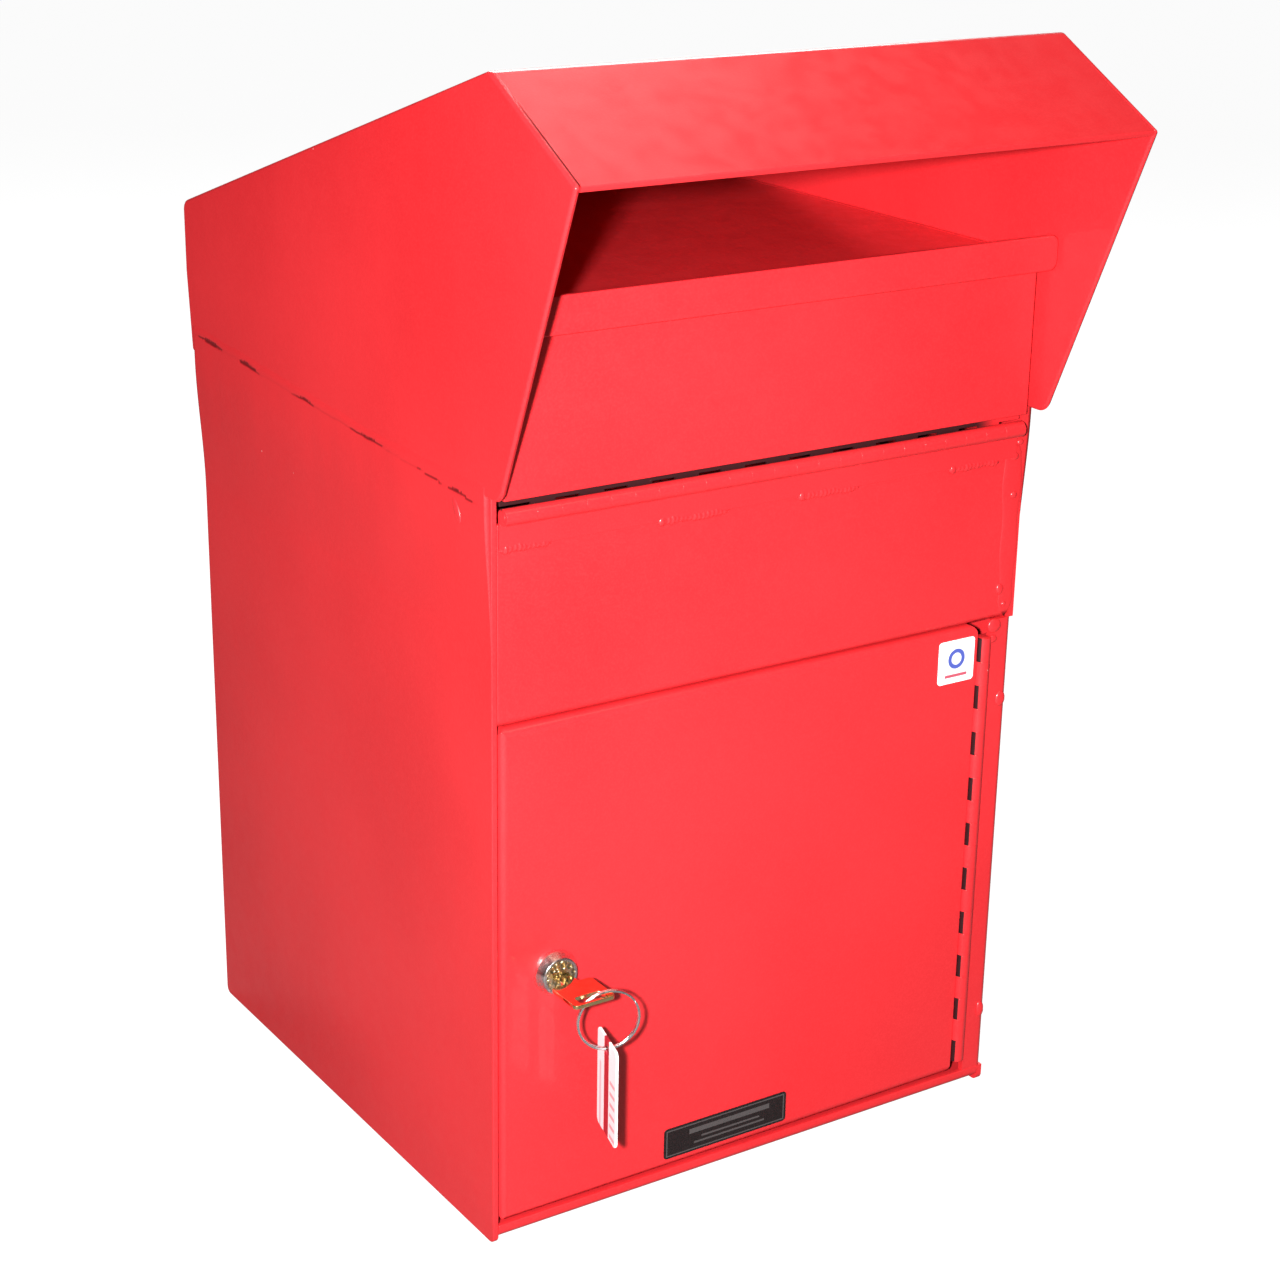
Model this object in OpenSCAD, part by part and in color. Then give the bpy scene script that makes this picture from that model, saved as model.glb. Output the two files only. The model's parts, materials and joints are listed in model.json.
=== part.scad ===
// Locking steel drop-box mailbox: a welded sheet body under a rain hood, with
// a bottom-hinged hopper flap for the mail and a side-hinged retrieval door
// that closes with a cam lock. Millimetres, +Z up, the front faces -Y.

/* [Body] */
// Outside width across the two side sheets
body_w = 305; // [240:1:420]
// Depth from the front edges of the side sheets to the back panel's outer face
body_d = 305; // [220:1:420]
// Thickness of the body sheets
sheet = 3; // [2:0.5:4]
// Height of the shelf's top face, where the locked compartment ends
shelf_top = 452; // [430:1:520]
// How far the side sheets reach below the bottom panel
side_drop = 2.5; // [0.5:0.5:6]
// Radius at the lower front corners of the side sheets
side_corner = 4; // [1:0.5:10]
// Outside radius of the body's folds
fold = 4.5; // [4.5:0.5:8]
// Height of the top of the rounded sill below the door
sill_top = 9.5; // [8.5:0.5:20]
// Level of the fixed front panel's lower edge
panel_low = 267; // [220:1:280]
// Depth of the flange that folds back along the fixed front panel's lower edge
panel_flange = 15; // [8:1:30]

/* [Hood] */
// Thickness of the hood sheets
hood_sheet = 3; // [2:0.5:4]
// Level of the hood sides' lower edge
hood_low = 376; // [372:1:400]
// How far the hood sides' lower front corner stands ahead of the body
hood_chin = 12; // [4:1:30]
// How far the fascia's lower edge stands ahead of the body
hood_reach = 72; // [50:1:110]
// Level of the fascia's lower edge
fascia_low = 521; // [510:1:580]
// Distance of the ridge ahead of the body
ridge_ahead = 4; // [0:1:20]
// Height of the ridge, the top of the whole box
ridge_top = 558; // [548:1:640]
// How far the hood stands behind the body's back face
hood_behind = 7; // [5:1:20]
// Level where the roof meets the hood's rear edge
roof_rear = 454; // [454:1:500]
// Level above which the hood's rear edge stands upright
rear_bend = 418; // [405:1:430]
// Radius at the hood sides' lower front corner
chin_radius = 8; // [3:1:16]
// Outside radius of the fold at the ridge
ridge_radius = 5; // [4:0.5:12]
// Outside radius of the fold at the rear of the roof
rear_radius = 6; // [4:0.5:14]

/* [Flap] */
// Level of the flap's hinge axis
flap_axis_z = 367; // [355:1:375]
// Gap between the top of the hinge barrel and the flap's lower edge
flap_gap = 3; // [1:0.5:5]
// Gap between the flap's edge and the inside of the hood, each side
flap_side_gap = 4; // [2:0.5:8]
// Opening angle of the flap in degrees
flap_open = 45; // [30:1:45]
// Height of the pull lip
lip_h = 17; // [12:0.5:30]
// How far the pull lip's face stands ahead of the flap's face
lip_ahead = 11; // [9:0.5:20]
// How far the pull lip stands above the shelf
lip_rise = 12.5; // [6:0.5:20]
// Radius at the pull lip's corners
lip_corner = 4.5; // [1:0.5:6]
// Gap between the pull lip's end and the inside of the hood
lip_end_gap = 1.5; // [1:0.5:6]
// Thickness of the hopper tray and its gussets
tray_sheet = 2; // [1.5:0.5:3]
// Height of the hopper tray's underside above the hinge axis
tray_above = 9; // [7:0.5:12]
// Fall of the hopper tray towards the back, in degrees
tray_fall = 12; // [5:1:16]
// Gap between the hopper tray's side edges and the side sheets
tray_side_gap = 3.5; // [2:0.5:8]
// Height of the gussets up the back of the flap
gusset_h = 60; // [30:1:62]
// Length of the gussets along the hopper tray
gusset_l = 93; // [40:1:110]

/* [Door] */
// Gap around the door at its top, bottom and latch edges
door_gap = 1.2; // [1:0.1:2]
// Depth of the door's folded edges
door_pan = 12; // [8:0.5:14]
// Opening angle of the door in degrees
door_open = 115; // [80:1:120]
// Distance of the door's hinge axis inside the right side sheet's outer face
door_axis_in = 18.2; // [17:0.1:24]
// Depth of the stiffening channel inside the door
stiffener_d = 10; // [6:1:14]
// Width of the stiffening channel inside the door
stiffener_w = 40; // [25:1:70]
// Thickness of the stiffening channel
stiffener_t = 1.5; // [1:0.5:2.5]
// Distance of the stiffening channel's ends from the door's ends
stiffener_end = 30; // [16:1:60]
// Width of the fold that the door closes against
stop_w = 15.5; // [12:0.5:16]
// Depth of that fold along the side sheet
stop_d = 18; // [12:1:30]

/* [Hinges] */
// Outside diameter of the hinge barrels
barrel_d = 8; // [7:0.5:10]
// Diameter of the hinge pins
pin_d = 4.8; // [3:0.1:5]
// Thickness of the hinge leaves
leaf = 1.5; // [1:0.1:1.8]
// Length of one knuckle with its gap
knuckle = 12.7; // [8:0.1:20]
// Gap between two knuckles
knuckle_gap = 0.3; // [0.2:0.1:1]
// Radial clearance of the pin in the knuckles
pin_clear = 0.05; // [0.01:0.01:0.1]
// Reach of the flap hinge's leaves from its axis
leaf_reach = 15.5; // [12:0.5:18]
// Shortest plain end left between a hinge and its panel's corner
hinge_inset = 2; // [1:0.5:20]

/* [Lock and key] */
// Distance of the lock's axis from the door's latch edge
lock_inset = 29.3; // [26:0.1:36]
// Diameter of the lock's front flange
lock_flange_d = 22.5; // [21:0.5:26]
// How far the lock's face stands ahead of the door
lock_proud = 6; // [4:0.5:10]
// Diameter of the lock's threaded barrel
lock_barrel_d = 19; // [17:0.5:20]
// Diameter of the plug's face
plug_face_d = 15.4; // [14.6:0.1:16]
// Diameter of the plug behind its face
plug_d = 13; // [11:0.5:13.5]
// Distance from the door's face to the front of the cam
cam_at = 18.5; // [17.5:0.5:24]
// Length of the cam from the lock's axis
cam_reach = 26; // [20:0.5:27]
// Width of the cam
cam_w = 15; // [10:0.5:17]
// Thickness of the cam
cam_sheet = 2.5; // [1.5:0.5:3]
// Thickness of the lock nut
nut_t = 4; // [3:0.5:6]
// Width of the key's bow
bow_w = 22; // [20:0.5:26]
// Length of the key's bow
bow_l = 21.5; // [19:0.5:26]
// Thickness of the key
key_t = 2; // [1.6:0.1:2.4]
// Width of the key's blade
blade_w = 8; // [6:0.5:9]
// Length of the blade inside the plug
blade_l = 18; // [12:0.5:20]
// Length of the slot in the key's bow
bow_slot_l = 14; // [12:0.5:16]
// Width of the slot in the key's bow
bow_slot_w = 6; // [5.5:0.1:7]
// Rim left between the slot and the bow's far edge
bow_rim = 1.8; // [1.5:0.1:4]
// Outside diameter of the split ring
ring_d = 31; // [28:0.5:40]
// Radial width of the split ring's wire
ring_wire = 1.5; // [1:0.1:2]
// Height of the split ring's two turns together
ring_stack = 2.2; // [1.6:0.1:2.6]
// Angle of the split ring to the door's face in degrees
ring_turn = 15; // [8:1:18]
// Width of the key tag
tag_w = 29; // [20:0.5:36]
// Length of the key tag
tag_l = 51; // [35:0.5:60]
// Thickness of the key tag
tag_t = 1.2; // [0.8:0.1:2]
// Diameter of the hole in the key tag
tag_hole_d = 5.5; // [5:0.1:7]
// Plastic left above the hole in the key tag
tag_rim = 3.2; // [2:0.1:6]

/* [Labels] */
// Width of the dark maker's plate
plate_w = 75; // [40:1:110]
// Height of the dark maker's plate
plate_h = 17; // [10:0.5:30]
// Width and height of the light sticker
sticker_w = 23; // [15:0.5:40]
// Thickness of both labels
label_t = 0.4; // [0.2:0.1:1]
// How far the maker's plate sits left of the door's middle
plate_aside = 8; // [0:1:30]
// Distance of the maker's plate above the door's lower edge
plate_up = 5; // [3:1:60]
// Distance of the sticker from the door's hinge edge
sticker_in = 2; // [1:0.5:40]
// Distance of the sticker below the door's upper edge
sticker_down = 5; // [3:0.5:60]
// Radius at the corners of both labels
label_corner = 2; // [0.5:0.5:4]

/* [Mounting holes] */
// Diameter of the anchor holes
anchor_d = 10.5; // [8:0.5:14]
// Spacing of the back panel's holes across
back_hole_x = 203.2; // [150:0.1:230]
// Spacing of the back panel's holes up and down
back_hole_z = 254; // [150:1:280]
// Level of the back panel's hole pattern
back_hole_mid = 225; // [200:1:240]
// Spacing of the bottom panel's holes across
floor_hole_x = 203.2; // [150:0.1:230]
// Spacing of the bottom panel's holes front to back
floor_hole_y = 203.2; // [120:0.1:240]

/* [Clearances] */
// Running gap between a moving piece and what it rests or stops against
rest_gap = 0.3; // [0.2:0.05:0.5]
// Gap around pieces that slip through one another
slip = 0.15; // [0.1:0.05:0.3]
// Radial clearance of the plug in the lock's barrel
plug_clear = 0.05; // [0.01:0.01:0.1]

/* [Hidden] */
$fn = 48;

// Straight pieces in a rounded fold or corner
round_steps = 8;

// Small sizes of the hood, the door and the hinges
rear_ease = 12;
stiffener_fold = 3;
leaf_back = 0.3;

// Small sizes of the lock
lock_bevel = 2.2;
flange_edge = 1.5;
plug_face_t = 2;
nut_wall = 4.5;
cam_boss = 7;
screw_r = 2;
screw_deep = 7;
screw_head_r = 4;
screw_head_t = 2.6;
washer_r = 6;
washer_t = 1;

// Small sizes of the key, the ring and the tag
bow_neck = 9;
bow_corner = 2;
slot_corner = 1.2;
notch_pitch = 3;
notch_deep = [1.6, 0.8, 1.2, 0.6, 1.4];
hook_gap = 0.5;
tag_play = 0.7;
tag_corner = 3;

// Body
side_in = body_w / 2 - sheet;
floor_z = side_drop;
front_y = 0;
back_in = body_d - sheet;
panel_top = flap_axis_z - barrel_d / 2 - rest_gap;
shelf_under = shelf_top - sheet;

// Hood
hood_half = body_w / 2 + hood_sheet;
hood_rear = body_d + hood_behind;
hood_front = -hood_reach;
frame_y = (hood_front + hood_rear) / 2;

// Hinges: a leaf's far face lies this far from the axis, just inside the barrel
barrel_r = barrel_d / 2;
leaf_far = barrel_r - leaf_back;
leaf_near = leaf_far - leaf;

// Flap
flap_axis_y = front_y - leaf_far;
flap_face = front_y - leaf - sheet;
flap_half = body_w / 2 - flap_side_gap;
flap_low = flap_axis_z + barrel_r + flap_gap;
tray_half = side_in - tray_side_gap;
stop_rise = shelf_under - rest_gap - flap_axis_z;
stop_angle = flap_open - tray_fall;
tray_top_above = tray_above + tray_sheet;
tray_start = (leaf_far - tray_above * sin(tray_fall)) / cos(tray_fall);
tray_reach = (stop_rise - tray_top_above * cos(stop_angle)) / sin(stop_angle);
flap_hinge_len = odd_knuckles(2 * (flap_half - hinge_inset)) * knuckle;

// Door
door_left = -side_in + door_gap;
door_axis_x = body_w / 2 - door_axis_in;
door_axis_y = front_y + sheet - leaf_near;
door_right = door_axis_x - barrel_r - rest_gap;
jamb_in = door_axis_x + barrel_r + rest_gap;
door_low = sill_top + door_gap;
door_high = panel_low - door_gap;
door_mid_x = (door_left + door_right) / 2;
door_mid_z = (door_low + door_high) / 2;
door_hinge_len = odd_knuckles(door_high - door_low - 2 * hinge_inset) * knuckle;
latch_at = front_y + door_pan + rest_gap;
door_leaf_reach = door_axis_in - fold - slip;

// Lock and key, in the lock's own frame: axis along Y, door face at 0
lock_x = door_left + lock_inset;
lock_z = door_mid_z;
face_y = front_y - lock_proud;
bow_near = face_y - bow_neck;
bow_far = bow_near - bow_l;
slot_y = bow_far + bow_rim + bow_slot_w / 2;
ring_r = ring_d / 2;
ring_in = ring_r - ring_wire;
ring_mid = ring_r - ring_wire / 2;
ring_x = lock_x + (bow_w + bow_slot_l) / 4;
slot_offset = ring_r * sin(acos((ring_r - ring_wire - hook_gap - key_t) / ring_r));
rim_offset = ring_in * sin(acos((ring_in - hook_gap) / ring_in));
ring_y = slot_y - (slot_offset + rim_offset) / 2 * sin(ring_turn);
ring_z = lock_z + key_t / 2 + hook_gap - ring_in;
tag_hook_z = ring_z - ring_mid;
tag_hole_z = tag_hook_z + ring_wire / 2 + tag_play - tag_hole_d / 2;
tag_top_z = tag_hook_z + ring_wire / 2 + tag_play + tag_rim;

// Colours
red = [0.86, 0.09, 0.10];
steel = [0.72, 0.73, 0.75];
brass = [0.80, 0.62, 0.30];

// ---- Outlines ----

function unit(v) = v / norm(v);
function left_of(v) = [-v[1], v[0]];
function turn_of(a, b, c) = sign((b[0] - a[0]) * (c[1] - b[1]) - (b[1] - a[1]) * (c[0] - b[0]));
function odd_knuckles(room) = 2 * floor((floor(room / knuckle) - 1) / 2) + 1;
function reversed(list) = [for (i = [len(list) - 1:-1:0]) list[i]];
function wrapped(angle) = angle > 180 ? angle - 360 : angle < -180 ? angle + 360 : angle;

// The points of an arc of radius r that rounds the corner b between a and c
function corner(a, b, c, r) = r <= 0 ? [b] :
    let(u = unit(a - b), v = unit(c - b), half = acos(u * v) / 2,
        mid = b + unit(u + v) * r / sin(half),
        from = b + u * r / tan(half) - mid, to = b + v * r / tan(half) - mid,
        start = atan2(from[1], from[0]),
        sweep = wrapped(atan2(to[1], to[0]) - start))
    [for (i = [0:round_steps])
        mid + r * [cos(start + sweep * i / round_steps), sin(start + sweep * i / round_steps)]];

// A closed outline from [x, y, radius] corners
function rounded(c) =
    let(n = len(c), p = [for (q = c) [q[0], q[1]]])
    [for (i = [0:n - 1]) each corner(p[(i + n - 1) % n], p[i], p[(i + 1) % n], c[i][2])];

// An open line from [x, y, radius] corners, moved to its left by t
function strand(c, t) =
    let(n = len(c), p = [for (q = c) [q[0], q[1]]],
        d = [for (i = [0:n - 2]) left_of(unit(p[i + 1] - p[i]))],
        s = [for (i = [0:n - 1]) i == 0 ? p[0] + t * d[0] : i == n - 1 ? p[i] + t * d[i - 1] :
            p[i] + t * (d[i - 1] + d[i]) / (1 + d[i - 1] * d[i])])
    [for (i = [0:n - 1]) each (i == 0 || i == n - 1) ? [s[i]] :
        corner(s[i - 1], s[i], s[i + 1], c[i][2] - t * turn_of(p[i - 1], p[i], p[i + 1]))];

// The section of a folded sheet of thickness t, to the left of the line c
module folded(c, t) {
    polygon(concat(strand(c, 0), reversed(strand(c, t))));
}

// ---- Placing ----

// Puts a piece into the part's frame, which is centred under the whole box
module placed(colour) {
    color(colour) translate([0, -frame_y, 0]) children();
}

// Extrudes a section drawn as [y, z] along X, from x0 to x1
module along_x(x0, x1) {
    translate([x0, 0, 0]) rotate([90, 0, 90]) linear_extrude(x1 - x0) children();
}

// Extrudes a section drawn as [x, z] along Y, from y0 to y1
module along_y(y0, y1) {
    translate([0, y1, 0]) rotate([90, 0, 0]) linear_extrude(y1 - y0) children();
}

// Extrudes a section drawn as [x, y] along Z, from z0 to z1
module along_z(z0, z1) {
    translate([0, 0, z0]) linear_extrude(z1 - z0) children();
}

module block(low, high) {
    translate(low) cube(high - low);
}

module rod_y(x, z, y0, y1, r) {
    translate([x, y1, z]) rotate([90, 0, 0]) cylinder(r = r, h = y1 - y0);
}

// ---- Body ----

module side_outline() {
    polygon(rounded([[front_y, 0, side_corner], [front_y, shelf_top, 0],
        [body_d, shelf_top, 0], [body_d, 0, side_corner]]));
}

module left_side() {
    placed(red) along_x(-body_w / 2, -side_in) side_outline();
}

module right_side() {
    placed(red) union() {
        along_x(side_in, body_w / 2) difference() {
            side_outline();
            translate([front_y - 1, sill_top]) square([1 + 2 * fold, panel_low - sill_top]);
        }
        along_z(sill_top, panel_low)
            folded([[jamb_in, front_y, 0], [body_w / 2, front_y, fold], [body_w / 2, 2 * fold, 0]], sheet);
    }
}

module back_panel() {
    placed(red) difference() {
        block([-side_in, back_in, floor_z], [side_in, body_d, shelf_top]);
        for (sx = [-1, 1], sz = [-1, 1])
            rod_y(sx * back_hole_x / 2, back_hole_mid + sz * back_hole_z / 2,
                back_in - 1, body_d + 1, anchor_d / 2);
    }
}

module bottom_panel() {
    placed(red) difference() {
        along_x(-side_in, side_in)
            folded([[front_y, sill_top, 0], [front_y, floor_z, fold], [back_in, floor_z, 0]], sheet);
        for (sx = [-1, 1], sy = [-1, 1])
            translate([sx * floor_hole_x / 2, body_d / 2 + sy * floor_hole_y / 2, floor_z - 1])
                cylinder(d = anchor_d, h = sheet + 2);
    }
}

module fixed_front_panel() {
    placed(red) along_x(-side_in, side_in)
        folded([[front_y, panel_top, 0], [front_y, panel_low, fold],
            [front_y + panel_flange, panel_low, 0]], sheet);
}

module deposit_shelf() {
    placed(red) block([-side_in, front_y - leaf + rest_gap, shelf_under], [side_in, back_in, shelf_top]);
}

// The fold that the door closes against and the cam turns behind
module latch_stop() {
    placed(red) along_z(door_low, door_high)
        folded([[-side_in, latch_at + stop_d, 0], [-side_in, latch_at, fold],
            [-side_in + stop_w, latch_at, 0]], sheet);
}

// ---- Hood ----

module hood_side(x0) {
    along_x(x0, x0 + hood_sheet) polygon(rounded([
        [-hood_chin, hood_low, chin_radius], [hood_front, fascia_low, 0],
        [-ridge_ahead, ridge_top, ridge_radius], [hood_rear, roof_rear, rear_radius],
        [hood_rear, rear_bend, rear_ease], [body_d + hood_sheet, hood_low, 0]]));
}

module hood_left_side() {
    placed(red) hood_side(-hood_half);
}

module hood_right_side() {
    placed(red) hood_side(body_w / 2);
}

// Rear strip, roof and fascia, folded from one sheet
module hood_roof() {
    placed(red) along_x(-body_w / 2, body_w / 2) folded([
        [body_d + hood_sheet, hood_low, 0], [hood_rear, rear_bend, rear_ease],
        [hood_rear, roof_rear, rear_radius], [-ridge_ahead, ridge_top, ridge_radius],
        [hood_front, fascia_low, 0]], hood_sheet);
}

// ---- Hinges ----

// One leaf of a piano hinge: its axis is the X axis, the leaf hangs towards -Z
// and lies behind the axis, and its knuckles are the even or the odd ones
module hinge_leaf(len, odd, reach) {
    plate_top = -barrel_r - rest_gap;
    difference() {
        union() {
            block([-len / 2, leaf_near, -reach], [len / 2, leaf_far, plate_top]);
            for (i = [odd:2:round(len / knuckle) - 1]) {
                x0 = -len / 2 + i * knuckle + knuckle_gap / 2;
                x1 = x0 + knuckle - knuckle_gap;
                block([x0, leaf_near, plate_top], [x1, leaf_far, 0]);
                translate([x0, 0, 0]) rotate([0, 90, 0]) cylinder(r = barrel_r, h = x1 - x0);
            }
        }
        translate([-len / 2 - 1, 0, 0]) rotate([0, 90, 0]) cylinder(r = pin_d / 2 + pin_clear, h = len + 2);
    }
}

module hinge_pin(len) {
    translate([-len / 2, 0, 0]) rotate([0, 90, 0]) cylinder(d = pin_d, h = len);
}

// ---- Flap ----

module at_flap_axis() {
    translate([0, flap_axis_y, flap_axis_z]) children();
}

// The [y, z] of a point s along the hopper tray and h above its hinge axis
function on_tray(s, h) = [flap_axis_y + s * cos(tray_fall) + h * sin(tray_fall),
    flap_axis_z - s * sin(tray_fall) + h * cos(tray_fall)];

module flap_hinge_fixed_leaf() {
    placed(red) at_flap_axis() hinge_leaf(flap_hinge_len, 0, leaf_reach);
}

module flap_hinge_moving_leaf() {
    placed(red) at_flap_axis() mirror([0, 0, 1]) hinge_leaf(flap_hinge_len, 1, leaf_reach);
}

module flap_hinge_pin() {
    placed(steel) at_flap_axis() hinge_pin(flap_hinge_len);
}

module flap_panel() {
    placed(red) block([-flap_half, flap_face, flap_low], [flap_half, flap_face + sheet, shelf_top]);
}

module pull_lip() {
    half = body_w / 2 - lip_end_gap;
    face = flap_face - lip_ahead;
    low = shelf_top + lip_rise - lip_h;
    placed(red) union() {
        along_y(face, face + sheet) polygon(rounded([[-half, low, lip_corner], [half, low, lip_corner],
            [half, low + lip_h, lip_corner], [-half, low + lip_h, lip_corner]]));
        block([-half + lip_corner, face + sheet, low], [half - lip_corner, flap_face, low + sheet]);
    }
}

module hopper_tray() {
    placed(red) along_x(-tray_half, tray_half) polygon([
        on_tray(tray_start, tray_above), on_tray(tray_reach, tray_above),
        on_tray(tray_reach, tray_top_above), on_tray(tray_start, tray_top_above)]);
}

module gusset(x0) {
    foot = flap_axis_z + leaf_reach + rest_gap;
    toe = on_tray(tray_start, tray_top_above);
    along_x(x0, x0 + tray_sheet) polygon([toe, [toe[0], foot], [flap_face + sheet, foot],
        [flap_face + sheet, foot + gusset_h], on_tray(gusset_l, tray_top_above)]);
}

module left_gusset() {
    placed(red) gusset(-tray_half);
}

module right_gusset() {
    placed(red) gusset(tray_half - tray_sheet);
}

// ---- Door ----

module at_door_axis() {
    translate([door_axis_x, door_axis_y, door_mid_z]) children();
}

// The door's outside form, drawn in by t on every side that the sheet covers
module door_form(t, round) {
    intersection() {
        along_x(door_left + t, door_right + 1) polygon(rounded([
            [front_y + t, door_low + t, round], [front_y + t, door_high - t, round],
            [front_y + door_pan + 1, door_high - t, 0], [front_y + door_pan + 1, door_low + t, 0]]));
        along_z(door_low, door_high) polygon(rounded([
            [door_left + t, front_y + t, round], [door_left + t, front_y + door_pan + 1, 0],
            [door_right + 1, front_y + door_pan + 1, 0], [door_right + 1, front_y + t, 0]]));
    }
}

module door_panel() {
    placed(red) difference() {
        intersection() {
            door_form(0, fold);
            along_y(front_y, front_y + door_pan) polygon(rounded([
                [door_left, door_low, fold], [door_right, door_low, fold],
                [door_right, door_high, fold], [door_left, door_high, fold]]));
        }
        door_form(sheet, fold - sheet);
        rod_y(lock_x, lock_z, front_y - 1, front_y + sheet + 1, lock_barrel_d / 2 + slip);
    }
}

module door_stiffener() {
    left = door_mid_x - stiffener_w / 2;
    right = door_mid_x + stiffener_w / 2;
    inside = front_y + sheet;
    back = inside + stiffener_d;
    placed(red) along_z(door_low + stiffener_end, door_high - stiffener_end)
        folded([[right, inside, 0], [right, back, stiffener_fold], [left, back, stiffener_fold],
            [left, inside, 0]], stiffener_t);
}

module door_hinge_fixed_leaf() {
    placed(red) at_door_axis() rotate([0, -90, 0]) hinge_leaf(door_hinge_len, 0, door_leaf_reach);
}

module door_hinge_moving_leaf() {
    placed(red) at_door_axis() rotate([0, 90, 0]) hinge_leaf(door_hinge_len, 1, door_leaf_reach);
}

module door_hinge_pin() {
    placed(steel) at_door_axis() rotate([0, 90, 0]) hinge_pin(door_hinge_len);
}

module label(x0, z0, w, h) {
    along_y(front_y - label_t, front_y) polygon(rounded([[x0, z0, label_corner],
        [x0 + w, z0, label_corner], [x0 + w, z0 + h, label_corner], [x0, z0 + h, label_corner]]));
}

module makers_plate() {
    placed([0.05, 0.05, 0.05])
        label(door_mid_x - plate_aside - plate_w / 2, door_low + plate_up, plate_w, plate_h);
}

module light_sticker() {
    placed("white") label(door_right - sticker_in - sticker_w,
        door_high - sticker_down - sticker_w, sticker_w, sticker_w);
}

// ---- Lock ----

// Puts a lock piece on the lock's axis: its own +Z points out of the door
module at_lock() {
    translate([lock_x, front_y, lock_z]) rotate([90, 0, 0]) children();
}

module lock_housing() {
    shaft = plug_d / 2 + plug_clear;
    face = plug_face_d / 2 + plug_clear;
    placed(steel) at_lock() rotate_extrude() polygon([
        [face, lock_proud], [lock_flange_d / 2 - lock_bevel, lock_proud], [lock_flange_d / 2, flange_edge],
        [lock_flange_d / 2, 0], [lock_barrel_d / 2, 0], [lock_barrel_d / 2, rest_gap - cam_at],
        [shaft, rest_gap - cam_at], [shaft, lock_proud - plug_face_t - rest_gap],
        [face, lock_proud - plug_face_t - rest_gap]]);
}

module lock_nut() {
    placed(steel) at_lock() translate([0, 0, -sheet - nut_t]) difference() {
        cylinder(r = lock_barrel_d / 2 + nut_wall, h = nut_t, $fn = 6);
        translate([0, 0, -1]) cylinder(r = lock_barrel_d / 2 + slip, h = nut_t + 2);
    }
}

module lock_plug() {
    placed(brass) at_lock() difference() {
        union() {
            translate([0, 0, lock_proud - plug_face_t]) cylinder(d = plug_face_d, h = plug_face_t);
            translate([0, 0, -cam_at]) cylinder(d = plug_d, h = cam_at + lock_proud - plug_face_t);
            block([-cam_boss / 2, -cam_boss / 2, slip - cam_at - cam_sheet],
                [cam_boss / 2, cam_boss / 2, -cam_at]);
        }
        block([-blade_w / 2 - slip, -key_t / 2 - slip, lock_proud - blade_l - slip],
            [blade_w / 2 + slip, key_t / 2 + slip, lock_proud + 1]);
        translate([0, 0, -cam_at - cam_sheet - 1])
            cylinder(r = screw_r + plug_clear, h = screw_deep + 1);
    }
}

module lock_cam() {
    placed(steel) along_y(cam_at, cam_at + cam_sheet) translate([lock_x, lock_z]) difference() {
        polygon(rounded([[-cam_w / 2, -cam_reach, cam_w / 4], [cam_w / 2, -cam_reach, cam_w / 4],
            [cam_w / 2, cam_w / 2, cam_w / 3], [-cam_w / 2, cam_w / 2, cam_w / 3]]));
        square(cam_boss + 2 * slip, center = true);
    }
}

module cam_washer() {
    placed(steel) at_lock() translate([0, 0, -cam_at - cam_sheet - washer_t]) difference() {
        cylinder(r = washer_r, h = washer_t);
        translate([0, 0, -1]) cylinder(r = screw_r + slip, h = washer_t + 2);
    }
}

module cam_screw() {
    back = -cam_at - cam_sheet - washer_t;
    placed(steel) at_lock() union() {
        translate([0, 0, back - screw_head_t]) cylinder(r = screw_head_r, h = screw_head_t);
        translate([0, 0, back]) cylinder(r = screw_r, h = washer_t + screw_deep - slip);
    }
}

// ---- Key, ring and tag ----

module key() {
    placed(brass) translate([lock_x, 0, lock_z - key_t / 2]) linear_extrude(key_t) difference() {
        union() {
            polygon(rounded([[-bow_w / 2, bow_far, bow_corner], [bow_w / 2, bow_far, bow_corner],
                [bow_w / 2, bow_near, bow_corner], [-bow_w / 2, bow_near, bow_corner]]));
            translate([-blade_w / 2, bow_near - 1]) square([blade_w, face_y + blade_l - bow_near + 1]);
        }
        polygon(rounded([[-bow_slot_l / 2, slot_y - bow_slot_w / 2, slot_corner],
            [bow_slot_l / 2, slot_y - bow_slot_w / 2, slot_corner],
            [bow_slot_l / 2, slot_y + bow_slot_w / 2, slot_corner],
            [-bow_slot_l / 2, slot_y + bow_slot_w / 2, slot_corner]]));
        for (i = [0:len(notch_deep) - 1], side = [-1, 1])
            translate([side * blade_w / 2, face_y + blade_l - (i + 1) * notch_pitch])
                rotate(45) square(notch_deep[i] * sqrt(2), center = true);
    }
}

// Puts a piece on the ring's centre line with its own X along the ring's plane
module at_ring(z) {
    translate([ring_x, ring_y, z]) rotate([0, 0, -ring_turn]) children();
}

module split_ring() {
    placed(steel) at_ring(ring_z) rotate([90, 0, 0]) rotate_extrude()
        translate([ring_in, -ring_stack / 2]) square([ring_wire, ring_stack]);
}

module key_tag() {
    placed("white") at_ring(0) difference() {
        along_x(-tag_t / 2, tag_t / 2) polygon(rounded([[-tag_w / 2, tag_top_z, tag_corner],
            [tag_w / 2, tag_top_z, tag_corner], [tag_w / 2, tag_top_z - tag_l, tag_corner],
            [-tag_w / 2, tag_top_z - tag_l, tag_corner]]));
        translate([-tag_t, 0, tag_hole_z]) rotate([0, 90, 0]) cylinder(d = tag_hole_d, h = 2 * tag_t);
    }
}

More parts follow.
